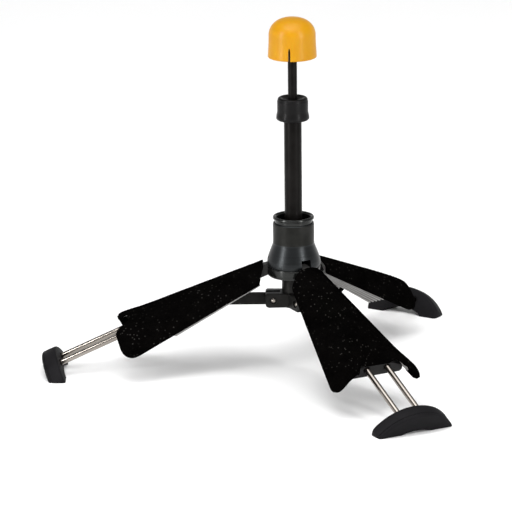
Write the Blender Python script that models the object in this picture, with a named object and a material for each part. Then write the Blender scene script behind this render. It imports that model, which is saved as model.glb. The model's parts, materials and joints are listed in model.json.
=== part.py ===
"""Folding in-bell stand for a cornet or trumpet.

A thin column carries three padded legs.  The legs hang from a hub that slides on the column, and three
flat struts hold them out.  Sliding the hub up the column folds the legs down around it.  Each leg has a
rubber foot on two steel rods that slides into the leg, and a thin rod with a dome cap slides in the top
of the column.

Lengths below are millimetres and become metres when a mesh is made.  Three frames are used:
  column frame  X and Y across, Z up, on the column's axis, with the floor at FLOOR_LEVEL;
  arm frame     the column frame turned so that X points out along one leg;
  leg frame     origin on the leg's hinge, X along the leg's crown, Y across, Z square to the crown.
"""

from math import asin, atan2, cos, pi, radians, sin, sqrt

import bmesh
import bpy
from mathutils import Matrix

MM = 0.001
GAP = 0.3                       # gap kept between pieces that touch or slide

# Overall
CAP_TOP = 200.0
FLOOR_LEVEL = 1.2
LEG_AZIMUTHS = (180.0, 298.5, 59.3)     # the legs have a little play, so they don't stand quite evenly

# Column: tube, collar, spreader
TUBE_R = 4.8
TUBE_BORE_R = 4.2
TUBE_BOTTOM = 42.0
TUBE_TOP = 150.0
COLLAR_BOTTOM = 142.8
COLLAR_TOP = 155.3
COLLAR_R = 8.4
COLLAR_FOOT_R = 9.0
SPREADER_BOTTOM = 37.5
SPREADER_TOP = 57.0
SPREADER_R = 6.6
CLEVIS_REACH = 15.6
CLEVIS_TOP = 46.0
CLEVIS_WIDTH = 11.4
CLEVIS_SLOT = 3.2
SCREW_HEAD_R = 3.2
SCREW_SHANK_R = 1.6

# Tip: thin rod and dome cap
ROD_R = 2.5
CAP_RIM_Z = 177.8
CAP_RIM_R = 13.24
CAP_SHOULDER_Z = 189.5
CAP_SHOULDER_R = 12.75
CAP_WALL = 1.9
CAP_SLIT_WIDTH = 1.3
CAP_SLIT_HEIGHT = 7.4
CAP_SLIT_AZIMUTHS = (262.0, 22.0, 142.0)

# Hub
HUB_RING_TOP = 88.9
HUB_RING_R = 11.35
HUB_MOUTH_R = 9.3
HUB_NECK_TOP = 85.6
HUB_NECK_R = 11.24
HUB_NECK_BOTTOM = 74.0
HUB_BASE_R = 14.73
HUB_SPLIT_Z = 61.25
HUB_BOTTOM = 55.3
HUB_WINDOW_TOP = 66.6
HUB_SLOT_WIDTH = 5.6
HUB_SLOT_INNER_R = 6.4
HUB_SCREW_AZIMUTHS = (0.0, 120.0, 240.0)
HUB_SCREW_RADIUS = 10.8

# Leg hinge and fold
HINGE_R = 9.5                   # distance of the hinge from the column's axis
HINGE_Z = 61.0
HINGE_PIN_R = 1.2
LEG_SLOPE = radians(21.4)       # the crown's slope when the leg is open
FOLD_ANGLE = radians(53.0)      # how far the leg turns down
HUB_TRAVEL = 65.0               # how far the hub rises meanwhile

# Leg channel and its cover, in the leg frame
CROWN_HEIGHT = 5.4              # crown line above the hinge
PAD_START = 4.4                 # distance out along the crown
PAD_END = 94.4
PAD_START_HALF_WIDTH = 10.8
PAD_START_DEPTH = 8.6
PAD_END_HALF_WIDTH = 28.0
PAD_END_DEPTH = 19.2
START_LEAN = 0.74               # how far the hub end leans out for each millimetre down from the crown
CROWN_END = 88.0                # the crown stops here and the sides run on as ears
SHELL_CROWN_END = 78.6          # below the cover the shell stops sooner, and the rod guide fills in
EAR_ROOT = 11.5                 # distance across at which the ears begin
EAR_BLEND = 5.0
EAR_CORNER_R = 8.5
VALLEY_START = 72.0             # from here outward the crown sinks between the ears
VALLEY_SLOPE = 0.35
VALLEY_SPREAD = 0.76
SHELL_VALLEY_LEAD = 1.6         # the shell's valley starts this much nearer the hub, clear of the cover
RIDGE_LIFT = 1.8                # how far the two ridges beside the valley rise above the plain arch
COVER_THICK = 0.8
SHELL_THICK = 1.7
SHELL_START_INSET = 2.2         # the shell starts this much outside the cover, clear of the hub when folded
KEEL_START = 12.0               # two sloping plates close the sides of the leg's underside
KEEL_END = 65.0
KEEL_INNER_SHARE = 0.47         # they reach in to this share of the half width
KEEL_DROP_SHARE = 0.19          # and down by this share of it
ALONG_PARTS = (0.0, 0.22, 0.44, 0.62, 0.74, 0.82, 0.88, 0.94, 1.0)
ACROSS_STEPS = 16
KNUCKLE_WIDTH = 5.0
KNUCKLE_R = 2.6
ARM_END = 24.0
RAIL_INNER = 1.6
RAIL_THICK = 1.5
RAIL_END = 64.0

# Struts
STRUT_HINGE_R = 11.3
STRUT_HINGE_Z = 42.0
STRUT_LENGTH = 29.85
STRUT_SWING = radians(65.6)
STRUT_HEIGHT = 6.4
STRUT_THICK = 2.4
STRUT_PIN_R = 1.2
SLOT_CLEARANCE = 0.9

# Leg rods, their guide and the foot
ROD_SLOPE = radians(24.7)
ROD_PIVOT_R = 100.0             # a point on the rods' axis, in the arm frame
ROD_PIVOT_Z = 21.18
LEG_ROD_R = 1.6
LEG_ROD_SPACING = 12.4
ROD_HEAD_R = 2.1
GUIDE_END = -10.8               # along the rods, measured outward from that point
GUIDE_LENGTH = 6.6
GUIDE_HALF_WIDTH = 12.5
GUIDE_TOP_HALF_WIDTH = 8.6
GUIDE_WING_HALF_WIDTH = 16.2
GUIDE_WING = -0.7               # top of the wings that fill in beside the ears
GUIDE_LOW = -4.8                # from the rods' axis
GUIDE_SHOULDER = 0.9            # height of its sides
FOOT_INNER = (31.4, 28.3, 28.3)  # each leg's foot is drawn out by its own amount
FOOT_THICK = 8.7
FOOT_TOP = 7.3                  # above the rods' axis
FOOT_ARCH_R = 27.0
FOOT_HALF_WIDTH = 21.6
FOOT_RELIEF_R = 14.0
FOOT_RELIEF_HEIGHT = 1.0

BLACK_METAL = ("black_metal", (0.025, 0.025, 0.026), 0.42, 0.6)
HUB_METAL = ("satin_grey_metal", (0.10, 0.105, 0.10), 0.33, 0.8)
STEEL = ("bright_steel", (0.62, 0.60, 0.57), 0.18, 1.0)
BLACK_PLASTIC = ("black_plastic", (0.02, 0.02, 0.02), 0.45, 0.0)
GREY_PLASTIC = ("grey_plastic", (0.12, 0.12, 0.12), 0.55, 0.0)
YELLOW_PLASTIC = ("yellow_plastic", (0.91, 0.40, 0.012), 0.5, 0.0)
VELVET = ("black_velvet", (0.008, 0.008, 0.008), 0.95, 0.0)
RUBBER = ("black_rubber", (0.028, 0.028, 0.030), 0.6, 0.0)


# --- scene and mesh helpers -------------------------------------------------------------------------

def clear_scene():
    for old in list(bpy.data.objects):
        bpy.data.objects.remove(old, do_unlink=True)


def material(spec):
    name, colour, roughness, metallic = spec
    found = bpy.data.materials.get(name)
    if found:
        return found
    made = bpy.data.materials.new(name)
    made.use_nodes = True
    shader = made.node_tree.nodes["Principled BSDF"]
    shader.inputs["Base Color"].default_value = (*colour, 1.0)
    shader.inputs["Roughness"].default_value = roughness
    shader.inputs["Metallic"].default_value = metallic
    return made


def empty(name, matrix):
    made = bpy.data.objects.new(name, None)
    made.empty_display_size = 0.01
    bpy.context.collection.objects.link(made)
    made.matrix_world = matrix
    return made


def finish_mesh(name, bm, spec, parent):
    """Turn a bmesh in millimetres into a smooth-shaded object in metres, under its parent empty."""
    bmesh.ops.recalc_face_normals(bm, faces=bm.faces)
    bmesh.ops.scale(bm, vec=(MM, MM, MM), verts=bm.verts)
    mesh = bpy.data.meshes.new(name)
    bm.to_mesh(mesh)
    bm.free()
    mesh.shade_smooth()
    mesh.set_sharp_from_angle(angle=radians(35.0))
    made = bpy.data.objects.new(name, mesh)
    bpy.context.collection.objects.link(made)
    made.parent = parent
    if spec:
        mesh.materials.append(material(spec))
    return made


def boolean(target, tool, operation="DIFFERENCE"):
    """Cut or join a tool shape; the tool stays in the scene as a hidden guide."""
    tool.hide_render = True
    tool.display_type = "WIRE"
    cut = target.modifiers.new(tool.name, "BOOLEAN")
    cut.operation = operation
    cut.solver = "EXACT"
    cut.object = tool
    return target


def turned_mesh(profile, steps, closed):
    """Spin (radius, height) points round Z.  A closed profile is a ring, an open one meets the axis."""
    bm = bmesh.new()
    rings = []
    for radius, height in profile:
        if radius < 1e-6:
            rings.append([bm.verts.new((0.0, 0.0, height))])
            continue
        angles = [2 * pi * i / steps for i in range(steps)]
        rings.append([bm.verts.new((radius * cos(a), radius * sin(a), height)) for a in angles])
    pairs = list(zip(rings, rings[1:]))
    if closed:
        pairs.append((rings[-1], rings[0]))
    for low, high in pairs:
        for i in range(steps):
            j = (i + 1) % steps
            if len(low) == 1:
                bm.faces.new((low[0], high[j], high[i]))
            elif len(high) == 1:
                bm.faces.new((low[i], low[j], high[0]))
            else:
                bm.faces.new((low[i], low[j], high[j], high[i]))
    return bm


def turned(name, profile, spec, parent, steps=24, closed=False, turn=None):
    bm = turned_mesh(profile, steps, closed)
    if turn:
        bmesh.ops.transform(bm, matrix=turn, verts=bm.verts)
    return finish_mesh(name, bm, spec, parent)


def prism(name, outline, low, high, spec, parent, turn=None):
    """Push a closed (x, z) outline along Y, from low to high."""
    bm = bmesh.new()
    near = [bm.verts.new((x, low, z)) for x, z in outline]
    far = [bm.verts.new((x, high, z)) for x, z in outline]
    bm.faces.new(near)
    bm.faces.new(far[::-1])
    for i in range(len(outline)):
        j = (i + 1) % len(outline)
        bm.faces.new((near[j], near[i], far[i], far[j]))
    if turn:
        bmesh.ops.transform(bm, matrix=turn, verts=bm.verts)
    return finish_mesh(name, bm, spec, parent)


def arc(centre, radius, start, end, steps):
    """Points on an arc in the (x, z) plane, angles in degrees."""
    angles = [radians(start + (end - start) * i / steps) for i in range(steps + 1)]
    return [(centre[0] + radius * cos(a), centre[1] + radius * sin(a)) for a in angles]


def capsule(start, end, radius, steps=5):
    """Outline of a slot or a round-ended bar between two points."""
    heading = atan2(end[1] - start[1], end[0] - start[0]) * 180.0 / pi
    return (arc(start, radius, heading + 90.0, heading + 270.0, steps)
            + arc(end, radius, heading - 90.0, heading + 90.0, steps))


ALONG_Y = Matrix.Rotation(-pi / 2, 4, "X")       # turns a piece made along Z to lie along Y
ALONG_X = Matrix.Rotation(pi / 2, 4, "Y")        # turns it to lie along X


def pin_profile(radius, half_length, chamfer=0.25):
    return [(0.0, -half_length), (radius - chamfer, -half_length), (radius, -half_length + chamfer),
            (radius, half_length - chamfer), (radius - chamfer, half_length), (0.0, half_length)]


# --- frames -----------------------------------------------------------------------------------------

def foot_outline():
    """The foot's arch across the leg, (y, height above the rods' axis), from one ground end to the other."""
    centre = FOOT_TOP - FOOT_ARCH_R
    ground = -14.0
    sweep = asin(FOOT_HALF_WIDTH / FOOT_ARCH_R) * 180.0 / pi
    crown = arc((0.0, centre), FOOT_ARCH_R, 90.0 + sweep, 90.0 - sweep, 12)
    side_y, side_z = crown[-1]
    right = [(side_y + 0.9, side_z - 2.0), (side_y + 0.9, side_z - 3.6), (side_y - 0.2, ground)]
    left = [(-y, z) for y, z in reversed(right)]
    return left + crown + right


def foot_span():
    """Furthest places that the feet cover along X and Y, from the column's axis."""
    xs = []
    ys = []
    for azimuth, foot_inner in zip(LEG_AZIMUTHS, FOOT_INNER):
        turn = radians(azimuth)
        for along in (foot_inner, foot_inner + FOOT_THICK):
            for across, up in foot_outline():
                out, height = rod_point(along, up)
                if height >= FLOOR_LEVEL:
                    xs.append(out * cos(turn) - across * sin(turn))
                    ys.append(out * sin(turn) + across * cos(turn))
    return min(xs), max(xs), min(ys), max(ys)


def rod_point(along, up=0.0):
    """Arm-frame (x, z) of a place measured along and square to the rods."""
    return (ROD_PIVOT_R + along * cos(ROD_SLOPE) + up * sin(ROD_SLOPE),
            ROD_PIVOT_Z - along * sin(ROD_SLOPE) + up * cos(ROD_SLOPE))


def column_frame():
    """The column stands off the origin, so that the origin is below the middle of the whole stand."""
    left, right, front, back = foot_span()
    return to_mm(-(left + right) / 2, -(front + back) / 2, -FLOOR_LEVEL)


def turn_z(degrees):
    return Matrix.Rotation(radians(degrees), 4, "Z")


def to_mm(x, y, z):
    return Matrix.Translation((x * MM, y * MM, z * MM))


def leg_point(x, z, fold=0.0, rise=0.0):
    """An arm-frame (x, z) seen in the leg frame, with the leg folded and the hub risen."""
    slope = LEG_SLOPE + fold
    out = x - HINGE_R
    up = z - HINGE_Z - rise
    return out * cos(slope) - up * sin(slope), out * sin(slope) + up * cos(slope)


# --- column -----------------------------------------------------------------------------------------

def make_column(column):
    turned("centre_tube", [(TUBE_R, TUBE_BOTTOM), (TUBE_R, TUBE_TOP), (TUBE_BORE_R, TUBE_TOP),
                           (TUBE_BORE_R, TUBE_BOTTOM)], BLACK_METAL, column, closed=True)
    bore = TUBE_R + GAP
    hole = ROD_R + GAP
    turned("tube_collar", [
        (COLLAR_FOOT_R - 0.7, COLLAR_BOTTOM), (COLLAR_FOOT_R, COLLAR_BOTTOM + 0.9),
        (COLLAR_FOOT_R - 0.1, COLLAR_BOTTOM + 2.2), (COLLAR_R, COLLAR_BOTTOM + 4.4),
        (COLLAR_R, COLLAR_TOP - 0.9), (COLLAR_R - 0.8, COLLAR_TOP), (hole + 1.3, COLLAR_TOP),
        (hole, COLLAR_TOP - 1.0), (hole, TUBE_TOP + GAP), (bore, TUBE_TOP + GAP), (bore, COLLAR_BOTTOM)],
        BLACK_PLASTIC, column, closed=True)
    wall_low = SPREADER_BOTTOM + 2.0
    wall_high = TUBE_BOTTOM - GAP
    turned("tube_plug", [(TUBE_BORE_R - GAP, TUBE_BOTTOM + GAP), (TUBE_BORE_R - GAP, TUBE_BOTTOM + 8.0),
                         (SCREW_SHANK_R + GAP, TUBE_BOTTOM + 8.0), (SCREW_SHANK_R + GAP, TUBE_BOTTOM + GAP)],
           STEEL, column, steps=20, closed=True)
    turned("column_screw", [(0.0, SPREADER_BOTTOM + 0.9), (1.0, SPREADER_BOTTOM + 0.2),
                            (SCREW_HEAD_R - 0.4, SPREADER_BOTTOM + 0.2), (SCREW_HEAD_R,
                                                                          SPREADER_BOTTOM + 0.6),
                            (SCREW_HEAD_R, wall_low - GAP), (SCREW_SHANK_R, wall_low - GAP),
                            (SCREW_SHANK_R, TUBE_BOTTOM + 7.0), (0.0, TUBE_BOTTOM + 7.4)],
           STEEL, column, steps=20)
    make_spreader(column, wall_low, wall_high)


def make_spreader(column, wall_low, wall_high):
    bore = TUBE_R + GAP
    spreader = turned("spreader", [
        (SPREADER_R, SPREADER_BOTTOM), (SPREADER_R, SPREADER_TOP), (bore, SPREADER_TOP), (bore, wall_high),
        (SCREW_SHANK_R + GAP, wall_high), (SCREW_SHANK_R + GAP, wall_low), (SCREW_HEAD_R + GAP, wall_low),
        (SCREW_HEAD_R + GAP, SPREADER_BOTTOM)], BLACK_METAL, column, closed=True)
    inner = SPREADER_R - 1.0
    round_off = 1.6
    outline = ([(inner, SPREADER_BOTTOM + 0.5), (CLEVIS_REACH - round_off, SPREADER_BOTTOM + 0.5)]
               + arc((CLEVIS_REACH - round_off, SPREADER_BOTTOM + 0.5 + round_off), round_off, -60.0, 0.0, 3)
               + [(CLEVIS_REACH, CLEVIS_TOP - 0.6), (CLEVIS_REACH - 0.6, CLEVIS_TOP), (inner, CLEVIS_TOP)])
    for number, azimuth in enumerate(LEG_AZIMUTHS, 1):
        arm = empty(f"clevis_{number}_frame", column.matrix_world @ turn_z(azimuth))
        half = CLEVIS_WIDTH / 2
        boolean(spreader, prism(f"clevis_{number}_guide", outline, -half, half, None, arm), "UNION")
    for number, azimuth in enumerate(LEG_AZIMUTHS, 1):
        arm = empty(f"clevis_{number}_slot_frame", column.matrix_world @ turn_z(azimuth))
        slot = [(SPREADER_R + 0.9, SPREADER_BOTTOM - 2.0), (CLEVIS_REACH + 3.0, SPREADER_BOTTOM - 2.0),
                (CLEVIS_REACH + 3.0, CLEVIS_TOP + 2.0), (SPREADER_R + 0.9, CLEVIS_TOP + 2.0)]
        boolean(spreader, prism(f"clevis_{number}_slot_cut", slot, -CLEVIS_SLOT / 2, CLEVIS_SLOT / 2, None,
                                arm))
        hinge = empty(f"strut_{number}_hinge", arm.matrix_world @ to_mm(STRUT_HINGE_R, 0.0, STRUT_HINGE_Z))
        boolean(spreader, counterbore(f"clevis_{number}_bore_cut", hinge))
        turned(f"strut_inner_pin_{number}", pin_profile(STRUT_PIN_R, CLEVIS_WIDTH / 2 - 0.4), STEEL, hinge,
               steps=12, turn=ALONG_Y)
        make_strut(number, hinge)


def counterbore(name, hinge):
    """The pin's bore through a clevis, with a shallow recess round it in each outer face."""
    face = CLEVIS_WIDTH / 2
    depth = 0.8
    wide = STRUT_PIN_R + 0.8
    bore = STRUT_PIN_R + 0.1
    return turned(name, [(0.0, -face - 2.0), (wide, -face - 2.0), (wide, -face + depth), (bore,
                                                                                          -face + depth),
                         (bore, face - depth), (wide, face - depth), (wide, face + 2.0), (0.0, face + 2.0)],
                  None, hinge, steps=16, turn=ALONG_Y)


# --- struts -----------------------------------------------------------------------------------------

def make_strut(number, hinge):
    """A flat bar from the spreader to the leg's rails; its outer pin slides in their slots."""
    radius = STRUT_HEIGHT / 2
    half = STRUT_THICK / 2
    strut = prism(f"strut_{number}", capsule((0.0, 0.0), (STRUT_LENGTH, 0.0), radius), -half, half,
                  BLACK_METAL, hinge)
    outer = empty(f"strut_{number}_outer", hinge.matrix_world @ to_mm(STRUT_LENGTH, 0.0, 0.0))
    hole = pin_profile(STRUT_PIN_R + 0.1, half + 2.0, 0.1)
    boolean(strut, turned(f"strut_{number}_inner_cut", hole, None, hinge, steps=12, turn=ALONG_Y))
    boolean(strut, turned(f"strut_{number}_outer_cut", hole, None, outer, steps=12, turn=ALONG_Y))
    turned(f"strut_outer_pin_{number}", pin_profile(STRUT_PIN_R, RAIL_INNER + RAIL_THICK), STEEL, outer,
           steps=12, turn=ALONG_Y)


# --- tip --------------------------------------------------------------------------------------------

def dome_profile():
    """Outer profile of the cap from rim to crown."""
    rise = CAP_TOP - CAP_SHOULDER_Z
    steps = 8
    dome = []
    for i in range(steps + 1):
        angle = pi / 2 * i / steps
        dome.append((CAP_SHOULDER_R * cos(angle) ** 0.86, CAP_SHOULDER_Z + rise * sin(angle)))
    dome[-1] = (0.0, CAP_TOP)
    return [(CAP_RIM_R - 0.3, CAP_RIM_Z), (CAP_RIM_R, CAP_RIM_Z + 0.5)] + dome


def make_tip(column):
    head_low = TUBE_TOP - 3.4
    turned("tip_rod", [(0.0, head_low), (TUBE_BORE_R - 0.6, head_low), (TUBE_BORE_R - GAP, head_low + 0.4),
                       (TUBE_BORE_R - GAP, TUBE_TOP), (ROD_R, TUBE_TOP), (ROD_R, CAP_SHOULDER_Z + 4.4),
                       (ROD_R - 0.5, CAP_SHOULDER_Z + 5.0), (0.0, CAP_SHOULDER_Z + 5.0)],
           BLACK_METAL, column, steps=20)
    boss_r = 5.0
    boss_low = CAP_RIM_Z + 6.0
    hollow_top = CAP_SHOULDER_Z + 4.0
    inside = [(ROD_R + GAP, CAP_SHOULDER_Z + 5.3), (ROD_R + GAP, boss_low), (boss_r, boss_low),
              (boss_r, hollow_top), (CAP_SHOULDER_R - 3.6, hollow_top), (CAP_SHOULDER_R - CAP_WALL,
                                                                         CAP_SHOULDER_Z),
              (CAP_RIM_R - CAP_WALL, CAP_RIM_Z)]
    cap = turned("tip_cap", [(0.0, CAP_SHOULDER_Z + 5.3)] + inside + dome_profile(), YELLOW_PLASTIC, column,
                 steps=28)
    for number, azimuth in enumerate(CAP_SLIT_AZIMUTHS, 1):
        frame = empty(f"cap_slit_{number}_frame", column.matrix_world @ turn_z(azimuth))
        half = CAP_SLIT_WIDTH / 2
        peak = CAP_RIM_Z + CAP_SLIT_HEIGHT
        low = CAP_RIM_Z - 2.0
        tip = [(-half, low), (half, low), (half, peak - 1.8), (half * 0.35, peak), (-half * 0.35, peak),
               (-half, peak - 1.8)]
        turn_out = Matrix.Rotation(-pi / 2, 4, "Z")
        boolean(cap, prism(f"cap_slit_{number}_cut", tip, boss_r + 1.0, CAP_RIM_R + 3.0, None, frame,
                           turn_out))


# --- hub --------------------------------------------------------------------------------------------

def make_hub(column):
    bore = TUBE_R + GAP
    stem = HUB_NECK_R - 0.85
    turned("mouth_ring", [
        (stem, HUB_NECK_TOP - 2.0), (stem, HUB_RING_TOP - 1.4), (HUB_RING_R, HUB_RING_TOP - 1.1),
        (HUB_RING_R, HUB_RING_TOP - 0.4), (HUB_RING_R - 0.5, HUB_RING_TOP), (HUB_MOUTH_R + 0.6, HUB_RING_TOP),
        (HUB_MOUTH_R, HUB_RING_TOP - 0.6), (HUB_MOUTH_R, HUB_NECK_TOP - 2.0)],
        HUB_METAL, column, steps=28, closed=True)
    housing = turned("hub_housing", [
        (HUB_BASE_R, HUB_SPLIT_Z), (HUB_BASE_R + 0.02, HUB_SPLIT_Z + 1.6), (HUB_BASE_R - 0.25,
                                                                            HUB_SPLIT_Z + 3.6),
        (HUB_BASE_R - 1.15, HUB_SPLIT_Z + 6.3), (HUB_NECK_R, HUB_NECK_BOTTOM), (HUB_NECK_R,
                                                                                HUB_NECK_TOP - 0.3),
        (HUB_NECK_R - 0.3, HUB_NECK_TOP), (stem + GAP, HUB_NECK_TOP), (stem + GAP, HUB_NECK_TOP - 2.3),
        (HUB_MOUTH_R, HUB_NECK_TOP - 2.3), (HUB_MOUTH_R, HUB_NECK_BOTTOM - 0.5), (bore,
                                                                                  HUB_NECK_BOTTOM - 3.0),
        (bore, HUB_SPLIT_Z)], HUB_METAL, column, steps=28, closed=True)
    base = turned("hub_base_ring", [
        (HUB_BASE_R - 1.6, HUB_BOTTOM), (HUB_BASE_R - 0.5, HUB_BOTTOM + 0.5), (HUB_BASE_R - 0.1,
                                                                               HUB_BOTTOM + 1.5),
        (HUB_BASE_R - 0.1, HUB_SPLIT_Z - GAP), (bore, HUB_SPLIT_Z - GAP), (bore, SPREADER_TOP + GAP),
        (SPREADER_R + GAP, SPREADER_TOP + GAP), (SPREADER_R + GAP, HUB_BOTTOM)],
        HUB_METAL, column, steps=28, closed=True)
    half = HUB_SLOT_WIDTH / 2
    for number, azimuth in enumerate(LEG_AZIMUTHS, 1):
        arm = empty(f"hub_slot_{number}_frame", column.matrix_world @ turn_z(azimuth))
        far = HUB_BASE_R + 3.0
        window = [(HUB_SLOT_INNER_R, HUB_BOTTOM - 2.0), (far, HUB_BOTTOM - 2.0), (far, HUB_WINDOW_TOP),
                  (HUB_SLOT_INNER_R, HUB_WINDOW_TOP)]
        slot = prism(f"hub_slot_{number}_cut", window, -half, half, None, arm)
        hinge = empty(f"leg_{number}_hinge", arm.matrix_world @ to_mm(HINGE_R, 0.0, HINGE_Z))
        seat = turned(f"hub_seat_{number}_cut", pin_profile(HINGE_PIN_R + GAP, 6.3, 0.1), None, hinge,
                      steps=12,
                      turn=ALONG_Y)
        for piece in (housing, base):
            boolean(piece, slot)
            boolean(piece, seat)
        turned(f"leg_hinge_pin_{number}", pin_profile(HINGE_PIN_R, 6.0), STEEL, hinge, steps=12, turn=ALONG_Y)
        make_leg(number, arm, hinge)
    for number, azimuth in enumerate(HUB_SCREW_AZIMUTHS, 1):
        make_hub_screw(number, azimuth, column, housing, base)


def make_hub_screw(number, azimuth, column, housing, base):
    """A small screw that comes up through the base ring and holds it to the housing."""
    place = column.matrix_world @ turn_z(azimuth) @ to_mm(HUB_SCREW_RADIUS, 0.0, HUB_BOTTOM)
    frame = empty(f"hub_screw_{number}_frame", place)
    head_r = 1.8
    shank_r = 1.0
    head_top = 2.2
    shank_top = 11.0
    turned(f"hub_screw_{number}", [(0.0, 0.9), (0.5, 0.4), (head_r - 0.2, 0.4), (head_r, 0.7), (head_r,
                                                                                                head_top),
                                   (shank_r, head_top), (shank_r, shank_top), (0.0, shank_top + 0.5)],
           STEEL, frame, steps=12)
    hole = turned(f"hub_screw_{number}_cut", [
        (0.0, -1.0), (head_r + GAP, -1.0), (head_r + GAP, head_top + GAP), (shank_r + GAP, head_top + GAP),
        (shank_r + GAP, shank_top + 0.6), (0.0, shank_top + 1.0)], None, frame, steps=12)
    boolean(base, hole)
    boolean(housing, hole)


# --- legs -------------------------------------------------------------------------------------------

def section(reach):
    """Arc radius and half angle of the channel, at a distance out along the crown."""
    part = (reach - PAD_START) / (PAD_END - PAD_START)
    half_width = PAD_START_HALF_WIDTH + (PAD_END_HALF_WIDTH - PAD_START_HALF_WIDTH) * part
    depth = PAD_START_DEPTH + (PAD_END_DEPTH - PAD_START_DEPTH) * part
    radius = (half_width ** 2 + depth ** 2) / (2 * depth)
    return radius, asin(min(1.0, half_width / radius))


def smoothstep(value):
    value = min(1.0, max(0.0, value))
    return value * value * (3 - 2 * value)


def end_line(across, edge_distance, crown_end):
    """How far out the channel reaches at a place across it: ears at the sides, cut back at the crown."""
    ear = smoothstep((abs(across) - EAR_ROOT) / EAR_BLEND)
    reach = crown_end + (PAD_END - crown_end) * ear
    if edge_distance < EAR_CORNER_R:
        left = EAR_CORNER_R - edge_distance
        reach -= EAR_CORNER_R - sqrt(max(0.0, EAR_CORNER_R ** 2 - left ** 2))
    return reach


def arch_drop(reach, lean):
    """How far the arch lies below the crown line, with its two ridges raised toward the outer end."""
    radius, sweep = section(reach)
    lift = RIDGE_LIFT * smoothstep((reach - VALLEY_START) / (PAD_END - VALLEY_START))
    return radius * (1.0 - cos(sweep * lean)) - lift * sin(pi * abs(lean)) ** 2


def valley_drop(reach, lean):
    """How far the surface lies below that arch, between the ridges."""
    ridge = VALLEY_SPREAD * (reach - VALLEY_START)
    radius, sweep = section(reach)
    across = radius * sin(sweep * abs(lean))
    if ridge <= across:
        return 0.0
    side = arch_drop(reach, asin(ridge / radius) / sweep)
    floor = VALLEY_SLOPE * (reach - VALLEY_START)
    return max(0.0, floor + (side - floor) * (across / ridge) ** 3 - arch_drop(reach, lean))


def channel_point(lean, part, depth, ends, valley_lead):
    """A point of the channel: lean runs from -1 to 1 across it, part from 0 to 1 along it."""
    start_radius, start_sweep = section(PAD_START)
    start_inset, end_inset, crown_end = ends
    start = PAD_START + start_inset + start_radius * (1.0 - cos(start_sweep * lean)) * START_LEAN
    end_radius, end_sweep = section(PAD_END)
    edge_distance = end_radius * end_sweep * (1.0 - abs(lean))
    end = end_line(end_radius * sin(end_sweep * lean), edge_distance, crown_end) - end_inset
    reach = start + (end - start) * part
    radius, sweep = section(reach)
    drop = arch_drop(reach, lean) + valley_drop(reach + valley_lead, lean)
    across = (radius - depth) * sin(sweep * lean)
    return reach, across, CROWN_HEIGHT - drop - depth * cos(sweep * lean)


def channel(name, inset, thickness, ends, valley_lead, spec, parent):
    """An arched channel that widens and deepens outward and ends in two ears."""
    bm = bmesh.new()
    layers = []
    for part in ALONG_PARTS:
        loops = []
        for depth in (inset, inset + thickness):
            leans = [2.0 * j / ACROSS_STEPS - 1.0 for j in range(ACROSS_STEPS + 1)]
            points = [channel_point(lean, part, depth, ends, valley_lead) for lean in leans]
            loops.append([bm.verts.new(point) for point in points])
        layers.append(loops)
    for low, high in zip(layers, layers[1:]):
        for skin in (0, 1):
            for j in range(ACROSS_STEPS):
                bm.faces.new((low[skin][j], low[skin][j + 1], high[skin][j + 1], high[skin][j]))
        for j in (0, ACROSS_STEPS):
            bm.faces.new((low[0][j], low[1][j], high[1][j], high[0][j]))
    for end in (layers[0], layers[-1]):
        for j in range(ACROSS_STEPS):
            bm.faces.new((end[0][j], end[0][j + 1], end[1][j + 1], end[1][j]))
    return finish_mesh(name, bm, spec, parent)


def keel_plate(name, side, parent):
    """A plate from the shell's lower edge down and in towards the middle, widening outward with the leg."""
    bm = bmesh.new()
    ends = []
    for reach in (KEEL_START, KEEL_END):
        radius, sweep = section(reach)
        half_width = radius * sin(sweep)
        edge = CROWN_HEIGHT - radius * (1.0 - cos(sweep))
        high = radius - COVER_THICK - GAP - SHELL_THICK * 0.5
        low = high + 0.3
        keel = edge - KEEL_DROP_SHARE * half_width
        inner = KEEL_INNER_SHARE * half_width
        outline = [(high * sin(sweep) - 1.2 * cos(sweep),
                    edge + (high - radius) * cos(sweep) + 1.2 * sin(sweep)),
                   (inner, keel + 1.4), (inner, keel),
                   (low * sin(sweep) + 0.4 * cos(sweep),
                    edge + (low - radius) * cos(sweep) - 0.4 * sin(sweep))]
        ends.append([bm.verts.new((reach, side * y, z)) for y, z in outline])
    near, far = ends
    bm.faces.new(near)
    bm.faces.new(far[::-1])
    for i in range(4):
        j = (i + 1) % 4
        bm.faces.new((near[j], near[i], far[i], far[j]))
    return finish_mesh(name, bm, None, parent)


def slot_ends():
    """Where the strut's outer pin stands in the leg frame, with the leg open and folded."""
    opened = leg_point(STRUT_HINGE_R + STRUT_LENGTH, STRUT_HINGE_Z)
    folded = leg_point(STRUT_HINGE_R + STRUT_LENGTH * cos(STRUT_SWING),
                       STRUT_HINGE_Z + STRUT_LENGTH * sin(STRUT_SWING), FOLD_ANGLE, HUB_TRAVEL)
    return opened, folded


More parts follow.
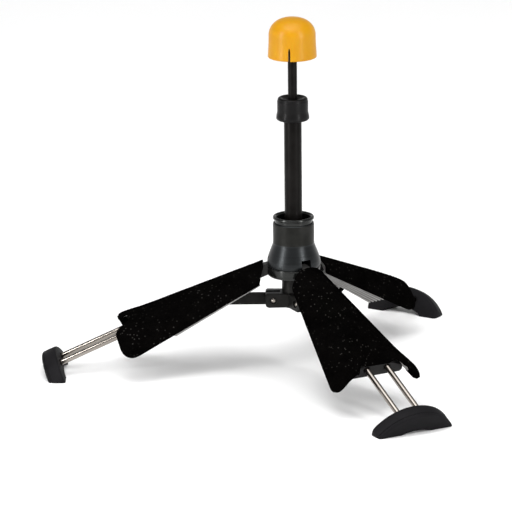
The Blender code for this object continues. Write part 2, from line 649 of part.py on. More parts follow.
def make_leg(number, arm, hinge):
    leg = empty(f"leg_{number}_frame", hinge.matrix_world @ Matrix.Rotation(LEG_SLOPE, 4, "Y"))
    channel(f"leg_cover_{number}", 0.0, COVER_THICK, (0.0, 0.0, CROWN_END), 0.0, VELVET, leg)
    shell = channel(f"leg_shell_{number}", COVER_THICK + GAP, SHELL_THICK, (SHELL_START_INSET, 0.2,
                                                                            SHELL_CROWN_END),
                    SHELL_VALLEY_LEAD, GREY_PLASTIC, leg)
    for side in (-1.0, 1.0):
        boolean(shell, keel_plate(f"leg_{number}_keel_guide", side, leg), "UNION")
    under_crown = CROWN_HEIGHT - COVER_THICK - GAP - SHELL_THICK * 0.5
    arm_side = (arc((0.0, 0.0), KNUCKLE_R, 90.0, 270.0, 8)
                + [(ARM_END - 4.0, -3.4), (ARM_END, -1.0), (ARM_END, under_crown), (6.5, under_crown),
                   (3.4, KNUCKLE_R)])
    half = KNUCKLE_WIDTH / 2
    boolean(shell, prism(f"leg_{number}_arm_guide", arm_side, -half, half, None, leg), "UNION")
    opened, folded = slot_ends()
    edge = STRUT_PIN_R + SLOT_CLEARANCE + 1.1
    rail_side = [(ARM_END - 6.0, under_crown), (ARM_END - 6.0, 0.0), (opened[0] - edge,
                                                                      opened[1] - edge + 0.6),
                 (opened[0], opened[1] - edge), (folded[0] + edge, folded[1] - edge), (RAIL_END, folded[1]),
                 (RAIL_END, under_crown)]
    for side, low in (("left", RAIL_INNER), ("right", -RAIL_INNER - RAIL_THICK)):
        guide = prism(f"leg_{number}_{side}_rail_guide", rail_side, low, low + RAIL_THICK, None, leg)
        boolean(shell, guide, "UNION")
    bore = turned(f"leg_{number}_bore_cut", pin_profile(HINGE_PIN_R + 0.1, 6.0, 0.1), None, leg, steps=12,
                  turn=ALONG_Y)
    boolean(shell, bore)
    slot = capsule(opened, folded, STRUT_PIN_R + SLOT_CLEARANCE)
    boolean(shell, prism(f"leg_{number}_slot_cut", slot, -6.0, 6.0, None, leg))
    make_extension(number, arm, leg)


def make_extension(number, arm, leg):
    rods = empty(f"foot_{number}_frame", arm.matrix_world @ to_mm(ROD_PIVOT_R, 0.0, ROD_PIVOT_Z)
                 @ Matrix.Rotation(ROD_SLOPE, 4, "Y"))
    head_end = GUIDE_END - GUIDE_LENGTH - GAP
    head_start = head_end - 2.0
    make_guide(number, rods)
    foot_inner = FOOT_INNER[number - 1]
    outer_end = foot_inner + 5.0
    profile = [(0.0, head_start), (ROD_HEAD_R - 0.2, head_start), (ROD_HEAD_R, head_start + 0.3),
               (ROD_HEAD_R, head_end), (LEG_ROD_R, head_end), (LEG_ROD_R, outer_end), (0.0, outer_end)]
    foot = make_foot(number, rods)
    for side, across in (("left", LEG_ROD_SPACING / 2), ("right", -LEG_ROD_SPACING / 2)):
        place = Matrix.Translation((0.0, across, 0.0)) @ ALONG_X
        turned(f"rod_{side}_{number}", profile, STEEL, rods, steps=12, turn=place)
        socket = [(0.0, foot_inner - 3.0), (LEG_ROD_R + GAP, foot_inner - 3.0), (LEG_ROD_R + GAP,
                                                                                 outer_end + GAP),
                  (0.0, outer_end + GAP)]
        boolean(foot, turned(f"foot_{number}_{side}_socket_cut", socket, None, rods, steps=12, turn=place))


def guide_roof(along):
    """Height of the guide's top above the rods' axis: it follows the underside of the cover's valley."""
    out, height = rod_point(along)
    reach, axis = leg_point(out, height)
    under_cover = CROWN_HEIGHT - VALLEY_SLOPE * (reach - VALLEY_START) - COVER_THICK - GAP
    return under_cover - axis


def make_guide(number, rods):
    """A block across the end of the channel with a bore for each rod and a top that falls outward."""
    bm = bmesh.new()
    ends = []
    for along in (GUIDE_END - GUIDE_LENGTH, GUIDE_END):
        roof = guide_roof(along)
        shoulder = GUIDE_SHOULDER
        right = [(GUIDE_WING_HALF_WIDTH, GUIDE_LOW), (GUIDE_WING_HALF_WIDTH, GUIDE_WING),
                 (GUIDE_HALF_WIDTH, shoulder), (GUIDE_TOP_HALF_WIDTH, roof)]
        outline = right + [(-y, z) for y, z in reversed(right)]
        ends.append([bm.verts.new((along, y, z)) for y, z in outline])
    inner, outer = ends
    bm.faces.new(inner)
    bm.faces.new(outer[::-1])
    for i in range(len(inner)):
        j = (i + 1) % len(inner)
        bm.faces.new((inner[j], inner[i], outer[i], outer[j]))
    guide = finish_mesh(f"rod_guide_{number}", bm, GREY_PLASTIC, rods)
    for side, across in (("left", LEG_ROD_SPACING / 2), ("right", -LEG_ROD_SPACING / 2)):
        place = Matrix.Translation((0.0, across, 0.0)) @ ALONG_X
        middle = GUIDE_END - GUIDE_LENGTH / 2
        half = GUIDE_LENGTH / 2 + 3.0
        bore = [(0.0, middle - half), (LEG_ROD_R + 0.1, middle - half), (LEG_ROD_R + 0.1, middle + half),
                (0.0, middle + half)]
        boolean(guide, turned(f"guide_{number}_{side}_bore_cut", bore, None, rods, steps=12, turn=place))
    return guide


def make_foot(number, rods):
    """An arched rubber block square to the rods, cut level with the floor."""
    turn = Matrix.Rotation(pi / 2, 4, "Z")
    foot_inner = FOOT_INNER[number - 1]
    foot_outer = foot_inner + FOOT_THICK
    foot = prism(f"rubber_foot_{number}", foot_outline(), -foot_outer, -foot_inner, RUBBER, rods, turn)
    floor = empty(f"floor_{number}_frame", rods.matrix_world @ Matrix.Rotation(-ROD_SLOPE, 4, "Y"))
    near = foot_inner - 12.0
    far = foot_outer + 12.0
    drop = FLOOR_LEVEL - ROD_PIVOT_Z
    centre = FOOT_RELIEF_HEIGHT - FOOT_RELIEF_R
    half_chord = sqrt(FOOT_RELIEF_R ** 2 - centre ** 2)
    sweep = asin(half_chord / FOOT_RELIEF_R) * 180.0 / pi
    bump = [(y, z + drop) for y, z in arc((0.0, centre), FOOT_RELIEF_R, 90.0 + sweep, 90.0 - sweep, 6)]
    ground = [(-40.0, drop - 20.0), (-40.0, drop)] + bump + [(40.0, drop), (40.0, drop - 20.0)]
    boolean(foot, prism(f"floor_{number}_cut", ground, -far, -near, None, floor, turn))
    return foot


def main():
    clear_scene()
    bpy.context.view_layer.update()
    column = empty("column_frame", column_frame())
    bpy.context.view_layer.update()
    make_column(column)
    make_tip(column)
    make_hub(column)
    bpy.context.view_layer.update()


main()
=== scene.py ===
"""Looks of the folding in-bell stand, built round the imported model.

Shapes are worked out in millimetres in three frames, as in the design: the column's frame, an arm's frame
(X out along one leg) and a leg's frame (on its hinge, X along the crown).  They become metres in
finish_piece.
"""

from math import asin, atan2, cos, pi, radians, sin, sqrt

import bmesh
import bpy
from mathutils import Matrix, Vector, noise
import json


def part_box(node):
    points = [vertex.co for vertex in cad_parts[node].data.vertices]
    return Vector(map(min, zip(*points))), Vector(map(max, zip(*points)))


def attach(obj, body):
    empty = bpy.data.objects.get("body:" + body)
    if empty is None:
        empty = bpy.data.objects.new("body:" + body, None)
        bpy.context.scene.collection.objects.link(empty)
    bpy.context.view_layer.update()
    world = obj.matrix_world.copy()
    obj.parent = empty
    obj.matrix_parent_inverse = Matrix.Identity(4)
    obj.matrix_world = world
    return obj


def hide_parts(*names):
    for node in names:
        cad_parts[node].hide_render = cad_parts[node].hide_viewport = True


MM = 0.001
LEGS = (1, 2, 3)
BLACK = (0.0, 0.0, 0.0)
WHITE = (1.0, 1.0, 1.0)

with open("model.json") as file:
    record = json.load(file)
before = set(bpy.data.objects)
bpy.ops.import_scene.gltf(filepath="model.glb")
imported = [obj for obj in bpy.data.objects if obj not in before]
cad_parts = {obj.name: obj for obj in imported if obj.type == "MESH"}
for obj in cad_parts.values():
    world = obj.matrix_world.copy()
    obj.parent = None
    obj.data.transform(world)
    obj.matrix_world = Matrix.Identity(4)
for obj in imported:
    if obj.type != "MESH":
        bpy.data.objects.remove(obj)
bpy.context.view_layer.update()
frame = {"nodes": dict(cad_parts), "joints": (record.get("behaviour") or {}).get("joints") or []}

# Driving sizes of the design, in millimetres
TUBE_BOTTOM = 42.0
TUBE_R = 4.8
TUBE_BORE_R = 4.2
TUBE_TOP = 150.0
TUBE_HOLE_R = TUBE_R + 0.3
ROD_R = 2.5
ROD_HOLE_R = ROD_R + 0.3
CAP_RIM_Z = 177.8
CAP_RIM_R = 13.24
CAP_SHOULDER_Z = 189.5
CAP_SHOULDER_R = 12.75
CAP_TOP = 199.5
COLLAR_BOTTOM = 142.8
COLLAR_TOP = 155.3
HUB_SPLIT_Z = 61.25
HUB_BASE_R = 14.73
HUB_NECK_R = 11.24
HUB_MOUTH_R = 9.3
HINGE_Z = 61.0
HINGE_R = 9.5
LEG_SLOPE = radians(21.4)
CROWN_HEIGHT = 5.4
PAD_START = 4.4
PAD_END = 94.4
PAD_START_HALF_WIDTH = 10.8
PAD_START_DEPTH = 8.6
PAD_END_HALF_WIDTH = 28.0
PAD_END_DEPTH = 19.2
START_LEAN = 0.74
START_POINT = 2.6
START_FLAT = 2.0
CROWN_END = 88.0
EAR_ROOT = 11.5
EAR_BLEND = 5.0
EAR_CORNER_R = 8.5
SHELL_START_INSET = 2.5
SHELL_RIM = 1.3
SHELL_CROWN_END = 81.0
SHELL_OUTER_DEPTH = 0.95
SHELL_INNER_DEPTH = 2.75
SHELL_MIDDLE = 1.95
SHELL_RIB = 1.35
KEEL_START = 12.0
KEEL_END = 65.0
KEEL_INNER_SHARE = 0.47
KEEL_DROP_SHARE = 0.19
KEEL_RIBS = 5
KEEL_THICK = 1.6
KEEL_GROOVE = 0.55
VALLEY_START = 72.0
VALLEY_SLOPE = 0.35
VALLEY_SPREAD = 0.76
RIDGE_LIFT = 1.8
STRUT_HINGE_R = 11.3
STRUT_HINGE_Z = 42.0
STRUT_LENGTH = 29.85
STRUT_SWING = radians(65.6)
FOLD_ANGLE = radians(53.0)
HUB_TRAVEL = 65.0
ROD_SLOPE = radians(24.7)
ROD_PIVOT_R = 100.0
ROD_PIVOT_Z = 21.18
LEG_ROD_R = 1.6
LEG_ROD_ACROSS = 6.2
GUIDE_INNER = -17.4
GUIDE_OUTER = -10.8
GUIDE_HALF_WIDTH = 16.2
FOOT_INNER = {1: 31.4, 2: 28.3, 3: 28.3}
FOOT_TOP = 7.3
FOOT_ARCH_R = 27.0
FOOT_HALF_WIDTH = 21.6
FLOOR_LEVEL = 1.2


# --- frames -----------------------------------------------------------------------------------------

def shift(x, y, z):
    return Matrix.Translation((x * MM, y * MM, z * MM))


def column_matrix():
    low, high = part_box("centre_tube")
    return Matrix.Translation(((low.x + high.x) / 2, (low.y + high.y) / 2, low.z - TUBE_BOTTOM * MM))


def joint(name):
    return next(j for j in frame["joints"] if j["name"] == name)


COLUMN = column_matrix()
ALONG_Y = Matrix.Rotation(-pi / 2, 4, "X")
ALONG_X = Matrix.Rotation(pi / 2, 4, "Y")


def arm_matrix(number):
    """Column frame turned so that X points out along this leg, read from the leg's hinge axis."""
    axis = joint(f"leg_{number}_fold")["axis"]
    return COLUMN @ Matrix.Rotation(atan2(-axis[0], axis[1]), 4, "Z")


def leg_matrix(number):
    place = Matrix.Translation(joint(f"leg_{number}_fold")["pos_m"])
    return place @ arm_matrix(number).to_3x3().to_4x4() @ Matrix.Rotation(LEG_SLOPE, 4, "Y")


def rod_matrix(number):
    return arm_matrix(number) @ shift(ROD_PIVOT_R, 0.0, ROD_PIVOT_Z) @ Matrix.Rotation(ROD_SLOPE, 4, "Y")


def strut_matrix(number):
    place = Matrix.Translation(joint(f"strut_{number}_swing")["pos_m"])
    return place @ arm_matrix(number).to_3x3().to_4x4()


# --- mesh helpers -----------------------------------------------------------------------------------

def finish_piece(name, bm, matrix, look, sharp=40.0):
    """Turn a bmesh in millimetres into a placed object with its material."""
    bmesh.ops.recalc_face_normals(bm, faces=bm.faces)
    bmesh.ops.scale(bm, vec=(MM, MM, MM), verts=bm.verts)
    mesh = bpy.data.meshes.new(name)
    bm.to_mesh(mesh)
    bm.free()
    mesh.shade_smooth()
    mesh.set_sharp_from_angle(angle=radians(sharp))
    piece = bpy.data.objects.new(name, mesh)
    bpy.context.scene.collection.objects.link(piece)
    piece.matrix_world = matrix
    if look:
        mesh.materials.append(look)
    return piece


def dress(piece, body, slot, *nodes):
    """Give a piece its body and hide the CAD nodes it stands for; the slot argument is not used."""
    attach(piece, body)
    if nodes:
        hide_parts(*nodes)
    return piece


def rounded(points, closed=True, steps=4):
    """Round a profile's corners: a point is (a, b) or (a, b, radius)."""
    count = len(points)
    out = []
    for i, point in enumerate(points):
        here = Vector(point[:2])
        ends = not closed and i in (0, count - 1)
        if len(point) < 3 or ends:
            out.append(tuple(here))
            continue
        before = Vector(points[i - 1][:2]) - here
        after = Vector(points[(i + 1) % count][:2]) - here
        reach = min(point[2], before.length * 0.49, after.length * 0.49)
        start = here + before.normalized() * reach
        end = here + after.normalized() * reach
        for j in range(steps + 1):
            t = j / steps
            out.append(tuple(start * (1 - t) ** 2 + here * 2 * t * (1 - t) + end * t ** 2))
    return out


def lathe_mesh(profile, steps, closed):
    bm = bmesh.new()
    rings = []
    for radius, height in profile:
        if radius < 1e-5:
            rings.append([bm.verts.new((0.0, 0.0, height))])
            continue
        turns = [2 * pi * i / steps for i in range(steps)]
        rings.append([bm.verts.new((radius * cos(a), radius * sin(a), height)) for a in turns])
    pairs = list(zip(rings, rings[1:]))
    if closed:
        pairs.append((rings[-1], rings[0]))
    for low, high in pairs:
        for i in range(steps):
            j = (i + 1) % steps
            if len(low) == 1:
                bm.faces.new((low[0], high[j], high[i]))
            elif len(high) == 1:
                bm.faces.new((low[i], low[j], high[0]))
            else:
                bm.faces.new((low[i], low[j], high[j], high[i]))
    return bm


def lathe(name, profile, matrix, look, steps=96, closed=True, turn=None, sharp=40.0):
    bm = lathe_mesh(profile, steps, closed)
    if turn:
        bmesh.ops.transform(bm, matrix=turn, verts=bm.verts)
    return finish_piece(name, bm, matrix, look, sharp)


def soften(bm, edges, width):
    bmesh.ops.bevel(bm, geom=edges, offset=width, segments=3, profile=0.5, affect="EDGES", clamp_overlap=True)


def slab_mesh(outline, low, high, edge=0.0, turn=None):
    """Push a closed (x, z) outline along Y and round its long edges."""
    bm = bmesh.new()
    near = [bm.verts.new((x, low, z)) for x, z in outline]
    far = [bm.verts.new((x, high, z)) for x, z in outline]
    front = bm.faces.new(near)
    back = bm.faces.new(far[::-1])
    for i in range(len(outline)):
        j = (i + 1) % len(outline)
        bm.faces.new((near[j], near[i], far[i], far[j]))
    if edge:
        rims = list(set(front.edges) | set(back.edges))
        soften(bm, rims, edge)
    if turn:
        bmesh.ops.transform(bm, matrix=turn, verts=bm.verts)
    return bm


def slab(name, outline, low, high, matrix, look, edge=0.0, turn=None):
    return finish_piece(name, slab_mesh(outline, low, high, edge, turn), matrix, look)


def arc(centre, radius, start, end, steps):
    angles = [radians(start + (end - start) * i / steps) for i in range(steps + 1)]
    return [(centre[0] + radius * cos(a), centre[1] + radius * sin(a)) for a in angles]


def capsule(start, end, radius, steps=16):
    heading = atan2(end[1] - start[1], end[0] - start[0]) * 180.0 / pi
    return (arc(start, radius, heading + 90.0, heading + 270.0, steps)
            + arc(end, radius, heading - 90.0, heading + 90.0, steps))


def carve(piece, tools, operation="DIFFERENCE", sharp=40.0):
    """Cut or join with other meshes, keep the result and delete the tools."""
    for tool in tools:
        cut = piece.modifiers.new(tool.name, "BOOLEAN")
        cut.operation = operation
        cut.solver = "EXACT"
        cut.object = tool
    bpy.context.view_layer.update()
    depsgraph = bpy.context.evaluated_depsgraph_get()
    mesh = bpy.data.meshes.new_from_object(piece.evaluated_get(depsgraph))
    piece.modifiers.clear()
    mesh.validate()
    piece.data = mesh
    mesh.shade_smooth()
    mesh.set_sharp_from_angle(angle=radians(sharp))
    for tool in tools:
        bpy.data.objects.remove(tool, do_unlink=True)
    return piece


# --- materials --------------------------------------------------------------------------------------

class Look:
    """A Principled material with helpers that wire procedural detail into it."""

    def __init__(self, name, colour, roughness, metallic=0.0, **fixed):
        self.material = bpy.data.materials.new(name)
        self.material.use_nodes = True
        self.nodes = self.material.node_tree.nodes
        self.links = self.material.node_tree.links
        self.shader = self.nodes["Principled BSDF"]
        self.shader.inputs["Base Color"].default_value = (*colour, 1.0)
        self.shader.inputs["Roughness"].default_value = roughness
        self.shader.inputs["Metallic"].default_value = metallic
        for label, value in fixed.items():
            self.shader.inputs[label.replace("_", " ")].default_value = value
        self.place = self.nodes.new("ShaderNodeTexCoord").outputs["Object"]
        self.height = None

    def stretched(self, scale):
        mapping = self.nodes.new("ShaderNodeMapping")
        mapping.inputs["Scale"].default_value = scale
        self.links.new(self.place, mapping.inputs["Vector"])
        return mapping.outputs["Vector"]

    def noise(self, scale, detail=4.0, stretch=(1.0, 1.0, 1.0), rough=0.55):
        node = self.nodes.new("ShaderNodeTexNoise")
        node.inputs["Scale"].default_value = scale
        node.inputs["Detail"].default_value = detail
        node.inputs["Roughness"].default_value = rough
        self.links.new(self.stretched(stretch), node.inputs["Vector"])
        return node.outputs["Fac"]

    def voronoi(self, scale, stretch=(1.0, 1.0, 1.0), randomness=1.0):
        node = self.nodes.new("ShaderNodeTexVoronoi")
        node.inputs["Scale"].default_value = scale
        node.inputs["Randomness"].default_value = randomness
        self.links.new(self.stretched(stretch), node.inputs["Vector"])
        return node.outputs["Distance"]

    def ramp(self, value, stops):
        node = self.nodes.new("ShaderNodeValToRGB")
        ramp = node.color_ramp
        while len(ramp.elements) < len(stops):
            ramp.elements.new(0.5)
        for element, (at, colour) in zip(ramp.elements, stops):
            element.position = at
            element.color = (*colour, 1.0) if len(colour) == 3 else colour
        self.links.new(value, node.inputs["Fac"])
        return node.outputs["Color"]

    def between(self, value, low, high):
        """Map a 0 to 1 texture value to a range."""
        node = self.nodes.new("ShaderNodeMapRange")
        node.inputs["To Min"].default_value = low
        node.inputs["To Max"].default_value = high
        self.links.new(value, node.inputs["Value"])
        return node.outputs["Result"]

    def mix(self, factor, first, second):
        node = self.nodes.new("ShaderNodeMix")
        node.data_type = "RGBA"
        self.links.new(factor, node.inputs["Factor"])
        for socket, value in ((node.inputs[6], first), (node.inputs[7], second)):
            if isinstance(value, tuple):
                socket.default_value = (*value, 1.0)
            else:
                self.links.new(value, socket)
        return node.outputs[2]

    def colour(self, value):
        self.links.new(value, self.shader.inputs["Base Color"])

    def roughness(self, value, low, high):
        self.links.new(self.between(value, low, high), self.shader.inputs["Roughness"])

    def bump(self, value, strength, distance):
        node = self.nodes.new("ShaderNodeBump")
        node.inputs["Strength"].default_value = strength
        node.inputs["Distance"].default_value = distance
        self.links.new(value, node.inputs["Height"])
        if self.height:
            self.links.new(self.height, node.inputs["Normal"])
        self.height = node.outputs["Normal"]
        self.links.new(self.height, self.shader.inputs["Normal"])


def coated_metal(name, colour, roughness, metallic=0.35):
    """Dark satin coating with a faint orange peel and slight unevenness of gloss."""
    look = Look(name, colour, roughness, metallic, Specular_IOR_Level=0.07)
    uneven = look.noise(140.0, 3.0)
    pale = tuple(c * 1.5 + 0.004 for c in colour)
    look.colour(look.mix(look.between(uneven, -0.6, 1.3), colour, pale))
    look.roughness(look.noise(420.0, 4.0), roughness * 0.8, roughness * 1.25)
    look.bump(look.noise(2600.0, 2.0), 0.10, 0.00006)
    return look.material


def turned_metal(name, colour, roughness):
    """Satin metal with fine lines round the axis, as left by the lathe."""
    look = Look(name, colour, roughness, 0.85)
    lines = look.noise(900.0, 5.0, (0.02, 0.02, 1.0), 0.7)
    cloud = look.noise(90.0, 3.0)
    pale = tuple(c * 1.7 for c in colour)
    dark = tuple(c * 0.62 for c in colour)
    look.colour(look.mix(look.between(lines, 0.0, 1.0), dark, pale))
    look.roughness(cloud, roughness * 0.8, roughness * 1.3)
    look.bump(lines, 0.22, 0.00008)
    return look.material


def moulded_plastic(name, colour, roughness, grain=0.00005, coat=0.0):
    look = Look(name, colour, roughness, 0.0, Coat_Weight=coat, Coat_Roughness=0.12, Specular_IOR_Level=0.08)
    cloud = look.noise(60.0, 4.0)
    pale = tuple(min(1.0, c * 1.16 + 0.003) for c in colour)
    dark = tuple(c * 0.86 for c in colour)
    look.colour(look.mix(look.between(cloud, -0.4, 1.4), dark, pale))
    look.roughness(look.noise(300.0, 3.0), roughness * 0.85, roughness * 1.15)
    look.bump(look.noise(1900.0, 3.0), 0.18, grain)
    return look.material


def yellow_plastic():
    """Amber moulded plastic: even, slightly waxy, a little deeper where it is thick."""
    look = Look("amber_plastic", (0.45, 0.210, 0.002), 0.42, Subsurface_Weight=0.10, Subsurface_Scale=0.004,
                Specular_IOR_Level=0.10, Coat_Weight=0.22, Coat_Roughness=0.28)
    cloud = look.noise(45.0, 5.0)
    look.colour(look.mix(look.between(cloud, -0.5, 1.5), (0.42, 0.190, 0.001), (0.465, 0.218, 0.002)))
    look.roughness(look.noise(260.0, 4.0), 0.36, 0.50)
    look.bump(look.noise(1500.0, 3.0), 0.16, 0.00006)
    look.bump(look.noise(36.0, 2.0), 0.10, 0.0004)
    return look.material


def polished_steel(name, roughness):
    look = Look(name, (0.34, 0.31, 0.28), roughness, 1.0)
    drawn = look.noise(700.0, 4.0, (0.03, 1.0, 1.0))
    look.colour(look.mix(look.between(drawn, 0.0, 1.0), (0.24, 0.215, 0.19), (0.35, 0.32, 0.29)))
    look.roughness(drawn, roughness * 0.7, roughness * 1.5)
    look.bump(drawn, 0.06, 0.00003)
    return look.material


def velvet():
    """Near-black pile: cloudy nap, short fibres catching light, and a scatter of pale lint."""
    look = Look("black_velvet", (0.0022, 0.0021, 0.0021), 0.95, 0.0, Specular_IOR_Level=0.0)
    cloud = look.noise(75.0, 6.0, rough=0.7)
    nap = look.ramp(cloud, [(0.35, (0.0006, 0.0005, 0.0005)), (0.75, (0.0020, 0.0018, 0.0017))])
    pile = look.noise(2400.0, 4.0, rough=0.8)
    # Painted sheen: where the fine pile noise is high the colour is lifted, standing in for short fibres
    # catching light.
    pile_sheen_colour = look.mix(look.ramp(pile, [(0.52, BLACK), (0.80, WHITE)]), nap, (0.0055, 0.0050, 0.0047))
    lint = look.ramp(look.voronoi(430.0, (1.0, 1.3, 1.0)), [(0.13, WHITE), (0.21, BLACK)])
    where = look.ramp(look.noise(38.0, 3.0), [(0.40, BLACK), (0.58, WHITE)])
    both = look.nodes.new("ShaderNodeMix")
    both.data_type = "RGBA"
    both.blend_type = "MULTIPLY"
    both.inputs["Factor"].default_value = 1.0
    look.links.new(lint, both.inputs[6])
    look.links.new(where, both.inputs[7])
    look.colour(look.mix(both.outputs[2], pile_sheen_colour, (0.024, 0.0225, 0.021)))
    look.bump(pile, 0.9, 0.00035)
    look.bump(look.noise(160.0, 4.0), 0.35, 0.0006)
    return look.material


def rubber():
    """Moulded rubber, dark and dull, with fine grain and a dusty bloom."""
    look = Look("black_rubber", (0.0075, 0.0070, 0.0080), 0.60, 0.0, Specular_IOR_Level=0.08)
    cloud = look.noise(130.0, 5.0, rough=0.65)
    look.colour(look.mix(look.between(cloud, -0.3, 1.2), (0.0032, 0.0030, 0.0035), (0.0085, 0.0080, 0.0092)))
    look.roughness(cloud, 0.52, 0.74)
    look.bump(look.noise(1500.0, 4.0, rough=0.7), 0.32, 0.00012)
    return look.material


BLACK_COATING = coated_metal("black_coating", (0.0036, 0.0030, 0.0027), 0.36)
STRUT_COATING = coated_metal("strut_coating", (0.0090, 0.0088, 0.0082), 0.50, 0.2)
SPREADER_COATING = coated_metal("spreader_coating", (0.0095, 0.0092, 0.0086), 0.32, 0.4)
HUB_FINISH = turned_metal("turned_grey_metal", (0.0170, 0.0185, 0.0195), 0.31)
RING_FINISH = turned_metal("turned_edge_metal", (0.022, 0.0228, 0.022), 0.20)
NECK_FINISH = coated_metal("grey_neck_coating", (0.0120, 0.0120, 0.0110), 0.42, 0.5)
COLLAR_PLASTIC = moulded_plastic("black_collar_plastic", (0.0034, 0.0031, 0.0032), 0.38, 0.00003, 0.04)
SHELL_PLASTIC = moulded_plastic("grey_shell_plastic", (0.27, 0.265, 0.258), 0.50)
ARM_PLASTIC = moulded_plastic("dark_arm_plastic", (0.042, 0.041, 0.040), 0.50)
# Darker plastic for the keel plates' grooves: painted shade standing in for the shadow inside the grooves.
GROOVE_SHADE_PLASTIC = moulded_plastic("groove_painted_shade_plastic", (0.080, 0.077, 0.074), 0.60)
GUIDE_PLASTIC = moulded_plastic("dark_guide_plastic", (0.014, 0.0137, 0.0137), 0.55)
AMBER = yellow_plastic()
ROD_STEEL = polished_steel("polished_rod_steel", 0.14)
PIN_STEEL = polished_steel("pin_steel", 0.22)
VELVET = velvet()
RUBBER = rubber()


# --- column -----------------------------------------------------------------------------------------

def make_tube():
    edge = 0.25
    profile = rounded([(TUBE_R, TUBE_BOTTOM, edge), (TUBE_R, TUBE_TOP, edge), (TUBE_BORE_R, TUBE_TOP, edge),
                       (TUBE_BORE_R, TUBE_BOTTOM, edge)])
    dress(lathe("centre_tube_fine", profile, COLUMN, BLACK_COATING), "column", "black_metal", "centre_tube")


def make_collar():
    """Collar at the top of the tube: flared foot, straight body and a top face dished round the rod."""
    bore = TUBE_HOLE_R
    hole = ROD_HOLE_R
    top = COLLAR_TOP
    profile = rounded([
        (8.3, COLLAR_BOTTOM, 0.5), (9.0, COLLAR_BOTTOM + 0.8, 0.8), (8.9, COLLAR_BOTTOM + 2.4, 1.6),
        (8.4, COLLAR_BOTTOM + 4.4, 1.2), (8.4, top - 1.9, 0.4), (8.15, top - 1.5, 0.3),
        (8.15, top - 0.75, 0.5), (7.4, top, 0.6), (6.5, top, 0.5), (4.9, top - 0.8, 0.9),
        (hole + 0.9, top - 1.1, 0.4), (hole, top - 1.7, 0.3), (hole, TUBE_TOP + 0.3), (bore, TUBE_TOP + 0.3),
        (bore, COLLAR_BOTTOM, 0.3)])
    collar = lathe("tube_collar_fine", profile, COLUMN, COLLAR_PLASTIC)
    dress(collar, "column", "black_plastic", "tube_collar")


def make_spreader():
    """Cylinder at the foot of the tube with three forked ears; the edges of the ears are rounded."""
    bottom = 37.5
    top = 57.0
    ear_end = 15.6
    ear_top = 46.0
    radius = 6.6
    waist = 5.7
    wall_low = 39.5
    wall_high = 41.7
    screw = 1.9
    plug = 3.5
    bore = TUBE_HOLE_R
    edge = 0.35
    profile = rounded([
        (waist, bottom, edge), (waist, ear_top - 0.4), (radius, ear_top + 0.2, edge), (radius, top, edge),
        (bore, top, edge), (bore, wall_high), (screw, wall_high), (screw, wall_low), (plug, wall_low),
        (plug, bottom, edge)])
    body = lathe("spreader_fine", profile, COLUMN, SPREADER_COATING)
    ear_low = bottom + 0.5
    ears = [(0.0, ear_low), (ear_end, ear_low, 1.9), (ear_end, ear_top, 1.1), (0.0, ear_top)]
    slot = [(7.5, bottom - 2.0), (19.0, bottom - 2.0), (19.0, 48.0), (7.5, 48.0)]
    half = 5.7
    inner = 1.6
    for number in LEGS:
        arm = arm_matrix(number)
        hinge = strut_matrix(number)
        block = slab("ear_block", rounded(ears, steps=6), -half, half, arm, SPREADER_COATING, 0.6)
        carve(block, [slab("ear_slot", slot, -inner, inner, arm, SPREADER_COATING)])
        seat = half - 0.85
        recess = rounded([(0.0, -9.0), (2.15, -9.0), (2.15, -seat), (1.3, -seat), (1.3, seat), (2.15, seat),
                          (2.15, 9.0), (0.0, 9.0)], False)
        carve(block, [lathe("ear_bore", recess, hinge, SPREADER_COATING, 40, False, ALONG_Y)])
        carve(body, [block], "UNION")
        make_rivet(f"strut_rivet_{number}", hinge, half - 0.15, "column", f"strut_inner_pin_{number}")
    below = bottom - 7.5
    above = top + 3.0
    core = [(0.0, below), (plug, below), (plug, wall_low), (screw, wall_low), (screw, wall_high),
            (bore, wall_high), (bore, above), (0.0, above)]
    carve(body, [lathe("spreader_core", core, COLUMN, SPREADER_COATING, 64, False)])
    dress(body, "column", "black_metal", "spreader")


def make_rivet(name, hinge, half, body, node):
    """Pin with a low domed head at each end, each with a driver slot across it."""
    radius = 1.2
    shank = half - 0.3
    profile = rounded([(0.0, -half), (0.75, -half, 0.3), (radius, -shank, 0.25), (radius, shank, 0.25),
                       (0.75, half, 0.3), (0.0, half)], False)
    pin = lathe(name, profile, hinge, PIN_STEEL, 32, False, ALONG_Y)
    reach = radius + 1.0
    for side in (-1.0, 1.0):
        low, high = sorted((side * (half - 0.28), side * (half + 1.0)))
        groove = [(-reach, -0.16), (reach, -0.16), (reach, 0.16), (-reach, 0.16)]
        tilt = Matrix.Rotation(radians(35.0) * side, 4, "Y")
        carve(pin, [slab("pin_groove", groove, low, high, hinge, PIN_STEEL, 0.0, tilt)])
    dress(pin, body, "pin_steel", node)


def make_strut(number):
    """Flat bar with round ends and softened edges, drilled for both pins."""
    radius = 3.2
    half = 1.2
    hinge = strut_matrix(number)
    strut = slab(f"strut_{number}_fine", capsule((0.0, 0.0), (STRUT_LENGTH, 0.0), radius), -half, half, hinge,
                 STRUT_COATING, 0.32)
    for reach in (0.0, STRUT_LENGTH):
        bore = [(0.0, -4.0), (1.3, -4.0), (1.3, 4.0), (0.0, 4.0)]
        place = hinge @ shift(reach, 0.0, 0.0)
        carve(strut, [lathe("strut_hole", bore, place, STRUT_COATING, 32, False, ALONG_Y)])
    dress(strut, f"strut_link_{number}", "black_metal", f"strut_{number}")


# --- tip --------------------------------------------------------------------------------------------

